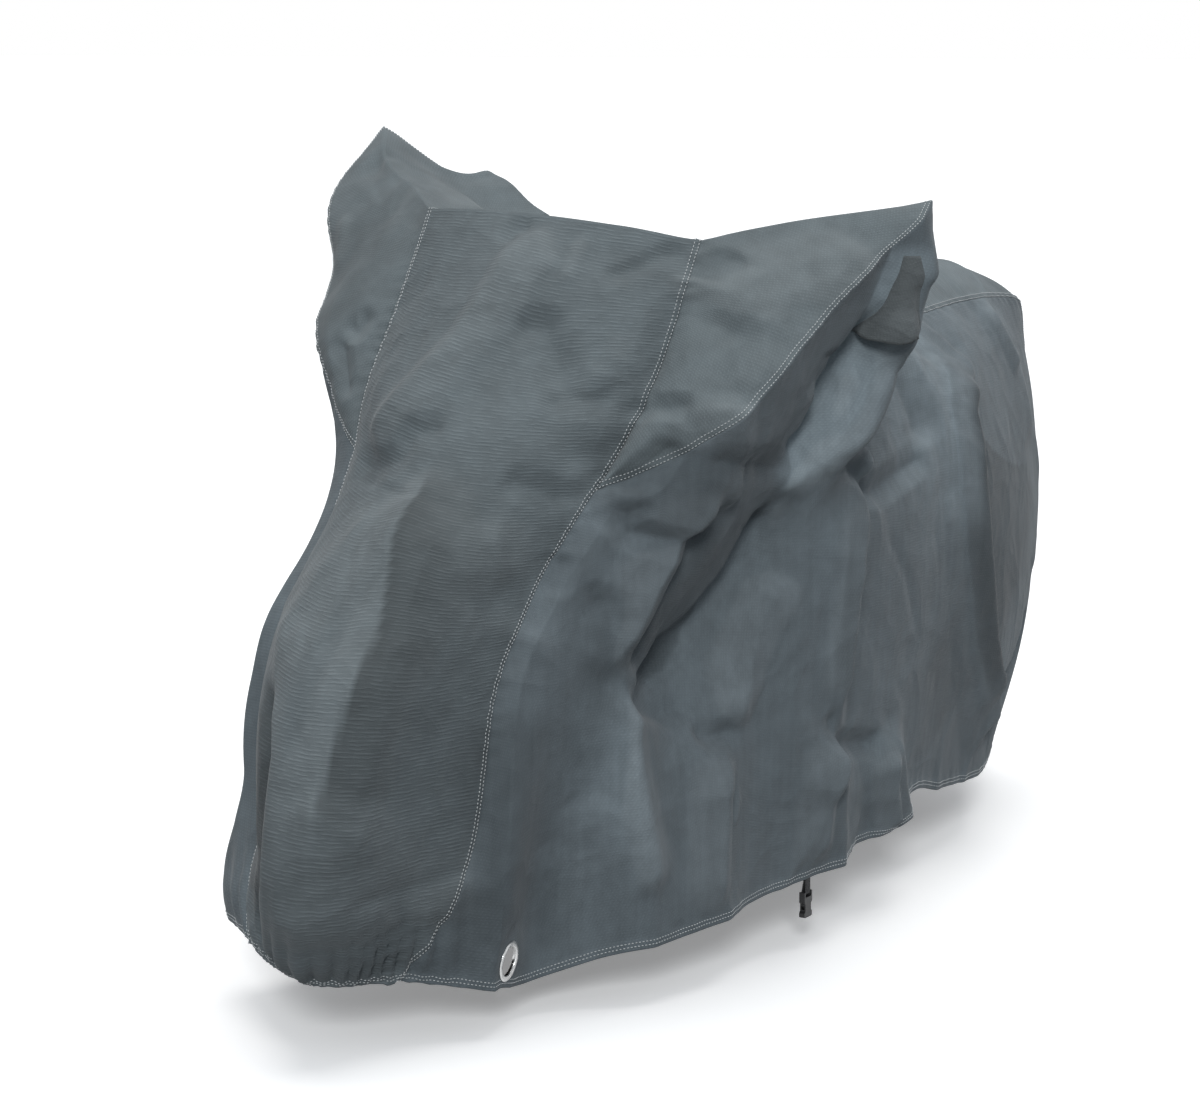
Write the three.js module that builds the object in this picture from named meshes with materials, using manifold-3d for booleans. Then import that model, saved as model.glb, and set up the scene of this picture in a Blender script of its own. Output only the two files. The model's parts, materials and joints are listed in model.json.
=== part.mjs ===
// Fitted motorcycle cover, as it hangs: a centre panel from wheel to wheel, an ear gusset over each bar end,
// two side panels, a lock eyelet in each front corner, hooded vents and a belly strap with its buckle half.
// Millimetres, +Z up, +X to the rear, -Y the left-hand side. The origin lies under the crown, where the
// cover is carried.

import * as THREE from 'three';
import { mergeVertices } from 'three/addons/utils/BufferGeometryUtils.js';
import Module from 'manifold-3d';

const wasm = await Module();
wasm.setup();

const LEFT = -1;
const RIGHT = 1;

// Cloth thickness, the gap between sewn pieces, and the gap under a piece that lies on the cloth
const CLOTH = 2;
const SEAM_GAP = 0.4;
const LAY_GAP = 0.5;

// The covered shape leans to its left on its stand, with its bars turned to the left
const LEAN_DEG = 4.8;
const STEER = { deg: 6.5, pivotX: -440, lowZ: 600, highZ: 900, fullX: -250, endX: 300 };

// Lock eyelet of rolled steel: diameters, how far each flange stands off the cloth, and its place in the corner
// block as a share of the block's length and height
const EYELET = { bore: 40, tube: 43, hole: 44, flange: 56, backFlange: 54, face: 2.2, back: 1.5, sides: 24 };
const EYELET_FLAT = 62;
const EYELET_PLACE = { along: 0.32, up: 0.3 };
const CORNER_BLOCK = { rowSteps: 2, levelSteps: 2 };

// Hooded vent behind each ear: its upper end and its mouth on the side view, half widths and the mouth's rise
const HOOD = {
  from: [-196, 1050], to: [-186, 938], narrow: 11, broad: 26, rise: 24, flange: 0.78, near: 0.3, lay: 1.3, steps: 12,
};
const HOOD_ACROSS = [-1, -0.78, -0.5, 0, 0.5, 0.78, 1];

// Belly strap of webbing, sewn inside the left hem, and the receptacle half of its buckle
const STRAP = { x: -168, width: 15, thickness: 1.4, sewn: 60, drop: 26, foldBack: 20, loopRadius: 2.9 };
const BUCKLE = { width: 23, waist: 17, thickness: 9, bar: 3, slotWidth: 17.2, slotHeight: 5, height: 38 };
const BUCKLE_MOUTH = { width: 13, height: 5.4, depth: 22 };

// Half shape standing upright: a row for each section from the front seam round to the rear seam, a column for
// each level from the hem up. A point is [x, distance out from the middle plane, height above the ground].
const LEVELS = ['hem', 'knee', 'mid', 'waist', 'shoulder', 'top'];
const SIDE_ROWS = [
  { name: 'front_seam', hem: [-862, 107, 105], knee: [-775, 138, 272], mid: [-745, 140, 483],
    waist: [-685, 146, 596], shoulder: [-640, 160, 675], top: [-602, 174, 737] },
  { name: 'front_corner', hem: [-755, 180, 85], knee: [-760, 186, 272], mid: [-735, 170, 483],
    waist: [-668, 176, 596], shoulder: [-615, 195, 685], top: [-582, 212, 757] },
  { name: 'fork', hem: [-590, 235, 102], knee: [-590, 235, 300], mid: [-585, 222, 500],
    waist: [-570, 222, 630], shoulder: [-560, 246, 720], top: [-550, 272, 799] },
  { name: 'ear_front', hem: [-420, 292, 118], knee: [-420, 272, 310], mid: [-430, 242, 510],
    waist: [-448, 262, 670], shoulder: [-472, 318, 790], top: [-488, 352, 892] },
  { name: 'ear_tip', hem: [-230, 310, 130], knee: [-235, 310, 310], mid: [-245, 312, 520],
    waist: [-232, 332, 740], shoulder: [-205, 388, 930], top: [-204, 425, 1130] },
  { name: 'ear_back', hem: [-80, 314, 143], knee: [-80, 316, 310], mid: [-75, 312, 520],
    waist: [-70, 300, 720], shoulder: [-70, 285, 880], top: [-85, 285, 1035] },
  { name: 'tank', hem: [90, 312, 152], knee: [80, 316, 310], mid: [80, 310, 520],
    waist: [75, 285, 710], shoulder: [70, 235, 850], top: [60, 150, 955] },
  { name: 'seat', hem: [320, 285, 152], knee: [330, 292, 310], mid: [335, 288, 520],
    waist: [335, 265, 700], shoulder: [335, 220, 820], top: [330, 128, 885] },
  { name: 'tail', hem: [575, 255, 124], knee: [640, 255, 310], mid: [660, 242, 520],
    waist: [660, 205, 700], shoulder: [655, 158, 820], top: [650, 112, 890] },
  { name: 'rear_corner', hem: [805, 165, 140], knee: [880, 175, 310], mid: [910, 165, 520],
    waist: [908, 140, 690], shoulder: [885, 112, 810], top: [865, 92, 878] },
  { name: 'rear_seam', hem: [930, 70, 140], knee: [990, 85, 310], mid: [1010, 85, 500],
    waist: [1005, 78, 680], shoulder: [985, 76, 790], top: [950, 78, 862] },
];
const CORNER_ROW = 1;
const EAR_ROW = 4;
const TANK_ROW = 6;
const LAST_ROW = SIDE_ROWS.length - 1;
const TOP_LEVEL = LEVELS.length - 1;

// Seam of the centre panel past the ear, from the nose over the screen edge to the tank: a row beside each of the
// side rows between. Swell is how far the gusset stands out between this seam and the side panel.
const SCREEN_ROWS = [
  { name: 'nose', seam: [-575, 188, 795], swell: 8 },
  { name: 'screen', seam: [-546, 199, 855], swell: 20 },
  { name: 'screen_high', seam: [-495, 205, 955], swell: 18 },
  { name: 'screen_edge', seam: [-438, 207, 1057], swell: 2 },
  { name: 'bars', seam: [-250, 190, 1022], swell: 0 },
];

// Middle line of the centre panel as [x, height], a row for each station from the front hem to the rear hem
const MIDDLE_ROWS = [
  { name: 'front_hem', at: [-950, 100] }, { name: 'front_knee', at: [-1012, 275] },
  { name: 'front_mid', at: [-975, 483] }, { name: 'front_waist', at: [-880, 596] },
  { name: 'front_shoulder', at: [-810, 675] }, { name: 'front_top', at: [-752, 737] },
  { name: 'nose', at: [-705, 795] }, { name: 'screen', at: [-655, 855] },
  { name: 'screen_high', at: [-575, 955] }, { name: 'screen_edge', at: [-478, 1072] },
  { name: 'bars', at: [-260, 1020] }, { name: 'tank', at: [60, 985] },
  { name: 'seat', at: [330, 925] }, { name: 'tail', at: [650, 948] },
  { name: 'rear_corner', at: [880, 912] }, { name: 'rear_top', at: [970, 870] },
  { name: 'rear_shoulder', at: [1015, 790] }, { name: 'rear_waist', at: [1035, 680] },
  { name: 'rear_mid', at: [1040, 500] }, { name: 'rear_knee', at: [1015, 310] },
  { name: 'rear_hem', at: [950, 145] },
];
const SCREEN_EDGE_STATION = MIDDLE_ROWS.findIndex((row) => row.name === 'screen_edge');
const CROWN_POWER = 2.2;

// Grid steps in each interval of the tables
const ROW_STEPS = [3, 3, 4, 5, 4, 4, 4, 4, 4, 3];
const LEVEL_STEPS = [3, 4, 5, 5, 4];
const GUSSET_STEPS = 5;
const CENTRE_STEPS = 10;

const smooth = THREE.MathUtils.smoothstep;

// Point at parameter t on a smooth curve through the points, with a crease at each sharp station
function along(points, t, sharp = []) {
  const last = points.length - 1;
  const i = Math.min(Math.floor(t), last - 1);
  const low = Math.max(0, ...sharp.filter((k) => k <= i));
  const high = Math.min(last, ...sharp.filter((k) => k > i));
  const b = points[i];
  const c = points[i + 1];
  const a = i > low ? points[i - 1] : b.clone().multiplyScalar(2).sub(c);
  const d = i + 1 < high ? points[i + 2] : c.clone().multiplyScalar(2).sub(b);
  const f = t - i;
  const weights = [
    -0.5 * f ** 3 + f ** 2 - 0.5 * f,
    1.5 * f ** 3 - 2.5 * f ** 2 + 1,
    -1.5 * f ** 3 + 2 * f ** 2 + 0.5 * f,
    0.5 * f ** 3 - 0.5 * f ** 2,
  ];
  const point = new THREE.Vector3();
  [a, b, c, d].forEach((p, k) => point.addScaledVector(p, weights[k]));
  return point;
}

const SIDE_POINTS = SIDE_ROWS.map((row) => LEVELS.map((level) => new THREE.Vector3(...row[level])));
const SHARP_ROWS = [CORNER_ROW, EAR_ROW];

// Half surface of a side panel at row parameter s and level parameter v
function sidePoint(s, v) {
  const section = SIDE_POINTS.map((levels) => along(levels, v));
  return along(section, s, SHARP_ROWS);
}

const SCREEN_POINTS = [
  SIDE_POINTS[0][TOP_LEVEL],
  ...SCREEN_ROWS.map((row) => new THREE.Vector3(...row.seam)),
  SIDE_POINTS[TANK_ROW][TOP_LEVEL],
];
const SWELL_POINTS = [0, ...SCREEN_ROWS.map((row) => row.swell), 0].map((swell) => new THREE.Vector3(swell, 0, 0));

// Half surface of an ear gusset, from the centre seam at w = 0 to the side panel at w = 1
function gussetPoint(s, w) {
  const inner = along(SCREEN_POINTS, s, [EAR_ROW]);
  const outer = sidePoint(s, TOP_LEVEL);
  const ahead = along(SCREEN_POINTS, Math.min(s + 0.1, TANK_ROW), [EAR_ROW]);
  const behind = along(SCREEN_POINTS, Math.max(s - 0.1, 0), [EAR_ROW]);
  const across = outer.clone().sub(inner);
  const out = across.clone().cross(ahead.sub(behind)).normalize();
  if (w === 1) return outer;
  const swell = along(SWELL_POINTS, s).x * 4 * w * (1 - w);
  return inner.addScaledVector(across, w).addScaledVector(out, -swell);
}

// Parameters spread over the table's intervals
function spread(steps) {
  const values = [0];
  steps.forEach((count, i) => {
    for (let k = 1; k <= count; k += 1) values.push(i + k / count);
  });
  return values;
}

const ROW_VALUES = spread(ROW_STEPS);
const LEVEL_VALUES = spread(LEVEL_STEPS);
const SCREEN_VALUES = ROW_VALUES.filter((s) => s <= TANK_ROW);
const SEAT_VALUES = ROW_VALUES.filter((s) => s > TANK_ROW);

// Left or right copy of a half-surface point
const onSide = (point, side) => new THREE.Vector3(point.x, point.y * side, point.z);

// The centre seam from the front hem to the rear hem, as [half-surface point, station] pairs
function seamLine() {
  const line = LEVEL_VALUES.map((v) => [sidePoint(0, v), v]);
  SCREEN_VALUES.slice(1).forEach((s) => line.push([gussetPoint(s, 0), TOP_LEVEL + s]));
  SEAT_VALUES.forEach((s) => line.push([sidePoint(s, TOP_LEVEL), TOP_LEVEL + s]));
  const end = TOP_LEVEL + LAST_ROW;
  [...LEVEL_VALUES].reverse().slice(1).forEach((v) => line.push([sidePoint(LAST_ROW, v), end + TOP_LEVEL - v]));
  return line;
}

const MIDDLE_POINTS = MIDDLE_ROWS.map((row) => new THREE.Vector3(row.at[0], 0, row.at[1]));

// Section of the centre panel at one station, from its left seam to its right seam
function centreSection([seam, station]) {
  const middle = along(MIDDLE_POINTS, station, [SCREEN_EDGE_STATION]);
  const section = [];
  for (let k = 0; k <= CENTRE_STEPS; k += 1) {
    const w = (2 * k) / CENTRE_STEPS - 1;
    const rise = 1 - Math.abs(w) ** CROWN_POWER;
    section.push(new THREE.Vector3(
      seam.x + (middle.x - seam.x) * rise,
      seam.y * w,
      seam.z + (middle.z - seam.z) * rise,
    ));
  }
  return section;
}

// Turn of the bars: the upper front is turned about the steering axis
function steer(point) {
  const weight = smooth(point.z, STEER.lowZ, STEER.highZ) * (1 - smooth(point.x, STEER.fullX, STEER.endX));
  const angle = THREE.MathUtils.degToRad(STEER.deg) * weight;
  const dx = point.x - STEER.pivotX;
  return new THREE.Vector3(
    STEER.pivotX + dx * Math.cos(angle) - point.y * Math.sin(angle),
    dx * Math.sin(angle) + point.y * Math.cos(angle),
    point.z,
  );
}

// Local pulls that make the drape uneven: a place, how far the pull reaches along each axis, and the move
const PULLS = [
  { name: 'right_front', at: [-740, 200, 430], reach: [320, 260, 370], move: [-36, 58, 0] },
  { name: 'right_hem', at: [-810, 230, 90], reach: [320, 260, 230], move: [-20, 88, 0] },
  { name: 'right_waist', at: [-690, 190, 620], reach: [250, 200, 200], move: [-12, 10, 0] },
  { name: 'right_nose', at: [-610, 190, 770], reach: [200, 150, 180], move: [-10, 16, 0] },
  { name: 'screen', at: [-570, 0, 850], reach: [260, 320, 260], move: [-8, 16, 0] },
  { name: 'right_ear', at: [-400, 380, 890], reach: [220, 180, 130], move: [6, -14, 0] },
  { name: 'right_brow', at: [-360, 400, 1050], reach: [160, 150, 140], move: [-20, 26, 4] },
  { name: 'right_tip', at: [-255, 430, 1135], reach: [160, 160, 160], move: [0, -10, 12] },
  { name: 'left_tip', at: [-160, -440, 1125], reach: [260, 260, 220], move: [10, -14, -9] },
  { name: 'hem_step', at: [225, -300, 120], reach: [130, 200, 150], move: [0, 0, 24] },
  { name: 'left_corner', at: [-650, -225, 120], reach: [112, 160, 460], move: [0, 55, -30] },
  { name: 'right_corner', at: [-650, 225, 120], reach: [112, 160, 460], move: [0, -40, -10] },
];

// Moves a point by each pull that reaches it
function pull(point) {
  const moved = point.clone();
  PULLS.forEach(({ at, reach, move }) => {
    const far = Math.hypot(...['x', 'y', 'z'].map((axis, k) => (point[axis] - at[k]) / reach[k]));
    if (far < 1) moved.addScaledVector(new THREE.Vector3(...move), (1 - far ** 2) ** 2);
  });
  return moved;
}

// Direction that each face looks, and the two axes that a fold's path is drawn on there
const FACES = {
  left: { out: [0, -1, 0], axes: ['x', 'z'] },
  right: { out: [0, 1, 0], axes: ['x', 'z'] },
  front: { out: [-1, 0, 0], axes: ['y', 'z'] },
  rear: { out: [1, 0, 0], axes: ['y', 'z'] },
};
const FACING = { from: 0.1, full: 0.45 };

// Main folds of the drape. A path runs from its upper end to its lower end, height is how far the crest stands out
// (a trough is below zero), wide is the reach on the low and the high side of the first axis, and fade is the
// length over which each end dies out.
const FOLDS = [
  { name: 'strip_valley', face: 'left', height: -34, wide: [110, 60], fade: 80,
    path: [[-228, 970], [-214, 905], [-250, 838], [-266, 780], [-280, 715]] },
  { name: 'ear_drape', face: 'left', height: 44, wide: [60, 96], fade: 110,
    path: [[-165, 1110], [-166, 960], [-150, 890], [-188, 830], [-220, 780], [-262, 715]] },
  { name: 'wedge_valley', face: 'left', height: -58, wide: [120, 110], fade: 120,
    path: [[-276, 760], [-290, 650], [-322, 580], [-370, 523], [-452, 474], [-550, 450]] },
  { name: 'wedge_lip', face: 'left', height: 24, wide: [120, 90], fade: 80,
    path: [[-420, 760], [-455, 700], [-476, 655], [-500, 594], [-530, 540], [-556, 490]] },
  { name: 'tank_ridge', face: 'left', height: 34, wide: [140, 75], fade: 70,
    path: [[-70, 780], [-116, 700], [-140, 610], [-149, 470], [-150, 340], [-156, 240]] },
  { name: 'seat_ridge', face: 'left', height: 24, wide: [120, 60], fade: 50,
    path: [[480, 840], [390, 780], [368, 700], [395, 540], [450, 390], [535, 262], [560, 190]] },
  { name: 'tail_ridge', face: 'left', height: 9, wide: [90, 70], fade: 50,
    path: [[681, 885], [717, 833], [789, 767], [820, 640]] },
  { name: 'fork_ridge', face: 'left', height: 20, wide: [64, 110], fade: 80,
    path: [[-572, 500], [-572, 400], [-552, 307], [-520, 178], [-505, 40]] },
  { name: 'front_pleat', face: 'left', height: 18, wide: [120, 70], fade: 60,
    path: [[-366, 390], [-385, 300], [-380, 159], [-380, 40]] },
  { name: 'middle_pleat', face: 'left', height: 34, wide: [150, 90], fade: 90,
    path: [[-140, 340], [-100, 200], [-92, 40]] },
  { name: 'rear_pleat', face: 'left', height: 30, wide: [160, 60], fade: 60,
    path: [[54, 330], [100, 220], [149, 150], [163, 40]] },
  { name: 'ear_end', face: 'left', height: 16, wide: [70, 70], fade: 30,
    path: [[-188, 1125], [-168, 1070], [-160, 1010]] },
  { name: 'right_ear_trough', face: 'right', height: -40, wide: [90, 140], fade: 70,
    path: [[-300, 930], [-370, 720], [-500, 470]] },
  { name: 'right_ear_drape', face: 'right', height: 26, wide: [80, 100], fade: 60,
    path: [[-235, 1060], [-215, 850], [-260, 640]] },
  { name: 'right_fork_ridge', face: 'right', height: 18, wide: [90, 80], fade: 60,
    path: [[-590, 560], [-540, 330], [-520, 40]] },
  { name: 'right_front_pleat', face: 'right', height: 16, wide: [110, 50], fade: 60,
    path: [[-300, 430], [-330, 40]] },
  { name: 'right_tank_ridge', face: 'right', height: 24, wide: [120, 90], fade: 60,
    path: [[-30, 760], [-40, 520], [20, 40]] },
  { name: 'right_rear_pleat', face: 'right', height: 22, wide: [130, 50], fade: 60,
    path: [[190, 420], [210, 40]] },
  { name: 'right_seat_ridge', face: 'right', height: 24, wide: [110, 70], fade: 60,
    path: [[380, 830], [440, 500], [420, 40]] },
  { name: 'right_tail_ridge', face: 'right', height: 16, wide: [90, 70], fade: 50,
    path: [[660, 850], [740, 560], [680, 200]] },
  { name: 'screen_diagonal', face: 'front', height: 14, wide: [90, 80], fade: 60,
    path: [[12, 1051], [28, 910], [60, 855], [132, 757]] },
  { name: 'screen_crease', face: 'front', height: -10, wide: [70, 75], fade: 50,
    path: [[-74, 985], [-74, 930], [-152, 866]] },
  { name: 'nose_ridge', face: 'front', height: 28, wide: [100, 100], fade: 90,
    path: [[-26, 740], [-49, 636], [-72, 558], [-70, 430], [-56, 323], [-40, 200], [-12, 60]] },
  { name: 'rear_ridge', face: 'rear', height: 14, wide: [70, 70], fade: 80,
    path: [[-25, 800], [-35, 480], [-20, 100]] },
];

// Place of a point beside a path: its signed distance, and how far along the path it lies, in millimetres
function beside(path, a, b) {
  let best = { distance: Infinity };
  let walked = 0;
  for (let i = 0; i + 1 < path.length; i += 1) {
    const [a0, b0] = path[i];
    const [da, db] = [path[i + 1][0] - a0, path[i + 1][1] - b0];
    const length = Math.hypot(da, db);
    const t = THREE.MathUtils.clamp(((a - a0) * da + (b - b0) * db) / length ** 2, 0, 1);
    const distance = Math.hypot(a - a0 - t * da, b - b0 - t * db);
    if (distance < best.distance) {
      best = { distance, at: walked + t * length, high: da * (b - b0) - db * (a - a0) > 0 };
    }
    walked += length;
  }
  return { ...best, length: walked };
}

// How far all the folds lift the cloth at a point
function foldHeight(point, normal) {
  let lift = 0;
  FOLDS.forEach(({ face, height, wide, fade, path }) => {
    const { out, axes } = FACES[face];
    const facing = smooth(normal.dot(new THREE.Vector3(...out)), FACING.from, FACING.full);
    if (facing === 0) return;
    const { distance, at, high, length } = beside(path, point[axes[0]], point[axes[1]]);
    const reach = 1 - distance / wide[high ? 1 : 0];
    if (reach <= 0) return;
    const ends = smooth(at, 0, fade) * smooth(length - at, 0, fade);
    lift += height * smooth(reach, 0, 1) * ends * facing;
  });
  return lift;
}

// Flat index of each place, so that points at one place are one point
const key = (p) => `${p.x.toFixed(3)},${p.y.toFixed(3)},${p.z.toFixed(3)}`;

// Collects triangles on merged points, leaving out those that have collapsed
class SheetMaker {
  constructor() {
    this.seen = new Map();
    this.points = [];
    this.triangles = [];
  }

  index(point) {
    const name = key(point);
    if (!this.seen.has(name)) {
      this.seen.set(name, this.points.length);
      this.points.push(point);
    }
    return this.seen.get(name);
  }

  add(a, b, c) {
    const triangle = [a, b, c].map((point) => this.index(point));
    if (new Set(triangle).size === 3) this.triangles.push(triangle);
  }
}

// Sheet of a grid of points, each cell split along its shorter diagonal; kept says which cells belong to it
function gridSheet({ rows, flip }, kept = () => true) {
  const sheet = new SheetMaker();
  const add = (a, b, c) => (flip ? sheet.add(a, c, b) : sheet.add(a, b, c));
  for (let i = 0; i + 1 < rows.length; i += 1) {
    for (let j = 0; j + 1 < rows[i].length; j += 1) {
      if (!kept(i, j)) continue;
      const [a, b, c, d] = [rows[i][j], rows[i][j + 1], rows[i + 1][j], rows[i + 1][j + 1]];
      if (b.distanceTo(c) <= a.distanceTo(d)) {
        add(a, b, c);
        add(b, d, c);
      } else {
        add(a, b, d);
        add(a, d, c);
      }
    }
  }
  return sheet;
}

// Mean normal at each place, taken over all the sheets that meet there
function sharedNormals(sheets) {
  const normals = new Map();
  sheets.forEach(({ points, triangles }) => {
    const own = points.map(() => new THREE.Vector3());
    triangles.forEach((triangle) => {
      const [a, b, c] = triangle.map((k) => points[k]);
      const normal = b.clone().sub(a).cross(c.clone().sub(a));
      triangle.forEach((k) => own[k].add(normal));
    });
    own.forEach((normal, k) => {
      const name = key(points[k]);
      if (!normals.has(name)) normals.set(name, new THREE.Vector3());
      normals.get(name).add(normal.normalize());
    });
  });
  normals.forEach((normal) => normal.normalize());
  return normals;
}

// Edges that belong to one triangle only, each in its triangle's own direction
function borderEdges(triangles) {
  const edges = new Map();
  triangles.forEach((t) => t.forEach((a, k) => {
    const b = t[(k + 1) % 3];
    const back = `${b},${a}`;
    if (edges.has(back)) edges.delete(back);
    else edges.set(`${a},${b}`, [a, b]);
  }));
  return [...edges.values()];
}

const MITRE_LIMIT = 6;

// A sheet's points with its border drawn in by half the seam gap
function drawIn({ points }, normals, border) {
  const inward = points.map(() => []);
  border.forEach(([a, b]) => {
    const direction = points[b].clone().sub(points[a]).normalize();
    [a, b].forEach((k) => inward[k].push(normals.get(key(points[k])).clone().cross(direction).normalize()));
  });
  return points.map((p, k) => {
    const [first, second] = inward[k];
    if (!second) return p.clone();
    const mitre = Math.min(MITRE_LIMIT, 1 / (1 + first.dot(second)));
    return p.clone().addScaledVector(first.clone().add(second), (SEAM_GAP / 2) * mitre);
  });
}

// Closed solid of a sheet: its outer face, its inner face one cloth thickness in, and a wall along each border
function clothSolid(sheet, normals) {
  const border = borderEdges(sheet.triangles);
  const outer = drawIn(sheet, normals, border);
  const count = outer.length;
  const inner = outer.map((p, k) => p.clone().addScaledVector(normals.get(key(sheet.points[k])), -CLOTH));
  const faces = [];
  sheet.triangles.forEach(([a, b, c]) => faces.push(a, b, c, count + a, count + c, count + b));
  border.forEach(([a, b]) => faces.push(b, a, count + a, b, count + a, count + b));
  const geometry = new THREE.BufferGeometry();
  const numbers = [...outer, ...inner].flatMap((p) => [p.x, p.y, p.z]);
  geometry.setAttribute('position', new THREE.Float32BufferAttribute(numbers, 3));
  geometry.setIndex(faces);
  return geometry;
}

const SIDES = [{ word: 'left', side: LEFT }, { word: 'right', side: RIGHT }];

// Grids of all the panels, upright and without folds
function panelGrids() {
  const grids = new Map();
  grids.set('centre_panel', { rows: seamLine().map(centreSection), flip: true });
  SIDES.forEach(({ word, side }) => {
    const flip = side === LEFT;
    const panel = ROW_VALUES.map((s) => LEVEL_VALUES.map((v) => onSide(sidePoint(s, v), side)));
    const shares = Array.from({ length: GUSSET_STEPS + 1 }, (_, k) => 1 - k / GUSSET_STEPS);
    const gusset = SCREEN_VALUES.map((s) => shares.map((w) => onSide(gussetPoint(s, w), side)));
    grids.set(`side_panel_${word}`, { rows: panel, flip });
    grids.set(`ear_gusset_${word}`, { rows: gusset, flip });
  });
  return grids;
}

// The grids as they hang: turned with the bars, pulled uneven and folded
function drapedGrids() {
  const grids = panelGrids();
  const change = (move) => grids.forEach((grid) => {
    grid.rows = grid.rows.map((row) => row.map(move));
  });
  change((point) => pull(steer(point)));
  const normals = sharedNormals([...grids.values()].map((grid) => gridSheet(grid)));
  change((point) => {
    const normal = normals.get(key(point));
    return point.clone().addScaledVector(normal, foldHeight(point, normal));
  });
  return grids;
}

// Whether a cell of a side panel's grid lies in the block that holds the eyelet
const FIRST_CORNER_STEP = ROW_STEPS[0];
const inCorner = (i, j) => i >= FIRST_CORNER_STEP && i < FIRST_CORNER_STEP + CORNER_BLOCK.rowSteps
  && j < CORNER_BLOCK.levelSteps;

// Place and normal on a side panel at a point of the side view, on the outermost layer there
function onSideView({ points, triangles }, x, z) {
  let best = null;
  triangles.forEach((triangle) => {
    const [a, b, c] = triangle.map((k) => points[k]);
    const ab = b.clone().sub(a);
    const ac = c.clone().sub(a);
    const area = ab.x * ac.z - ac.x * ab.z;
    const second = ((x - a.x) * ac.z - ac.x * (z - a.z)) / area;
    const third = (ab.x * (z - a.z) - (x - a.x) * ab.z) / area;
    if (!(second >= 0 && third >= 0 && second + third <= 1)) return;
    const place = a.clone().addScaledVector(ab, second).addScaledVector(ac, third);
    if (!best || Math.abs(place.y) > Math.abs(best.place.y)) best = { place, normal: ab.cross(ac).normalize() };
  });
  if (!best) throw new Error(`no cloth at ${x}, ${z}`);
  return best;
}

// Seat of an eyelet: its centre, the normal of the cloth there and two directions in its plane
function eyeletSeat(grid) {
  const block = gridSheet(grid, inCorner);
  const last = FIRST_CORNER_STEP + CORNER_BLOCK.rowSteps;
  const corner = (i, j) => grid.rows[i][j];
  const low = corner(FIRST_CORNER_STEP, 0).clone().lerp(corner(last, 0), EYELET_PLACE.along);
  const high = corner(FIRST_CORNER_STEP, CORNER_BLOCK.levelSteps).clone()
    .lerp(corner(last, CORNER_BLOCK.levelSteps), EYELET_PLACE.along);
  const target = low.lerp(high, EYELET_PLACE.up);
  const { place } = onSideView(block, target.x, target.z);
  const normal = new THREE.Vector3();
  sharedNormals([block]).forEach((one) => normal.add(one));
  normal.normalize();
  const across = new THREE.Vector3(0, 0, 1).cross(normal).normalize();
  return { block, centre: place, normal, across, up: normal.clone().cross(across) };
}

// Ring of points round an eyelet's centre
function ringAround({ centre, across, up }, diameter) {
  return Array.from({ length: EYELET.sides }, (_, k) => {
    const angle = (2 * Math.PI * k) / EYELET.sides;
    return centre.clone()
      .addScaledVector(across, (diameter / 2) * Math.cos(angle))
      .addScaledVector(up, (diameter / 2) * Math.sin(angle));
  });
}

// Joins an outer loop to an inner loop round one centre, both in the order of their angle
function joinLoops(sheet, seat, outer, inner) {
  const angle = (p) => {
    const from = p.clone().sub(seat.centre);
    return (Math.atan2(from.dot(seat.up), from.dot(seat.across)) + 2 * Math.PI) % (2 * Math.PI);
  };
  const inOrder = (loop) => loop.map((p) => ({ p, turn: angle(p) })).sort((a, b) => a.turn - b.turn);
  const wide = inOrder(outer);
  const narrow = inOrder(inner);
  const turnAt = (loop, k) => loop[k % loop.length].turn + 2 * Math.PI * Math.floor(k / loop.length);
  let i = 0;
  let j = 0;
  while (i < wide.length || j < narrow.length) {
    const [a, b] = [wide[i % wide.length].p, narrow[j % narrow.length].p];
    const wideNext = i < wide.length && (j >= narrow.length || turnAt(wide, i + 1) <= turnAt(narrow, j + 1));
    if (wideNext) {
      i += 1;
      sheet.add(a, wide[i % wide.length].p, b);
    } else {
      j += 1;
      sheet.add(a, narrow[j % narrow.length].p, b);
    }
  }
}

// Sheet of an eyelet corner: the block's own border, a flat round the eyelet and the hole in it
function cornerSheet(seat) {
  const { points, triangles } = seat.block;
  const border = borderEdges(triangles).map(([a]) => points[a]);
  const flat = ringAround(seat, EYELET_FLAT);
  const hole = ringAround(seat, EYELET.hole);
  const sheet = new SheetMaker();
  joinLoops(sheet, seat, border, flat);
  joinLoops(sheet, seat, flat, hole);
  return { sheet, flatPoints: [...flat, ...hole] };
}

// Rolled eyelet with a flange on each side of the cloth, its axis along +Y
function eyeletGeometry() {
  const bore = EYELET.bore / 2;
  const tube = EYELET.tube / 2;
  const flange = EYELET.flange / 2;
  const backFlange = EYELET.backFlange / 2;
  const inside = -CLOTH - LAY_GAP;
  const roll = 1.4;
  const profile = [
    [bore, inside - EYELET.back], [backFlange, inside - EYELET.back], [backFlange, inside], [tube, inside],
    [tube, LAY_GAP], [flange, LAY_GAP], [flange, EYELET.face - roll / 2], [flange - roll, EYELET.face],
    [bore + roll, EYELET.face], [bore, EYELET.face - roll], [bore, inside - EYELET.back],
  ].map(([r, y]) => new THREE.Vector2(r, y));
  const geometry = new THREE.LatheGeometry(profile, EYELET.sides);
  geometry.deleteAttribute('normal');
  geometry.deleteAttribute('uv');
  return mergeVertices(geometry, 1e-4);
}

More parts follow.
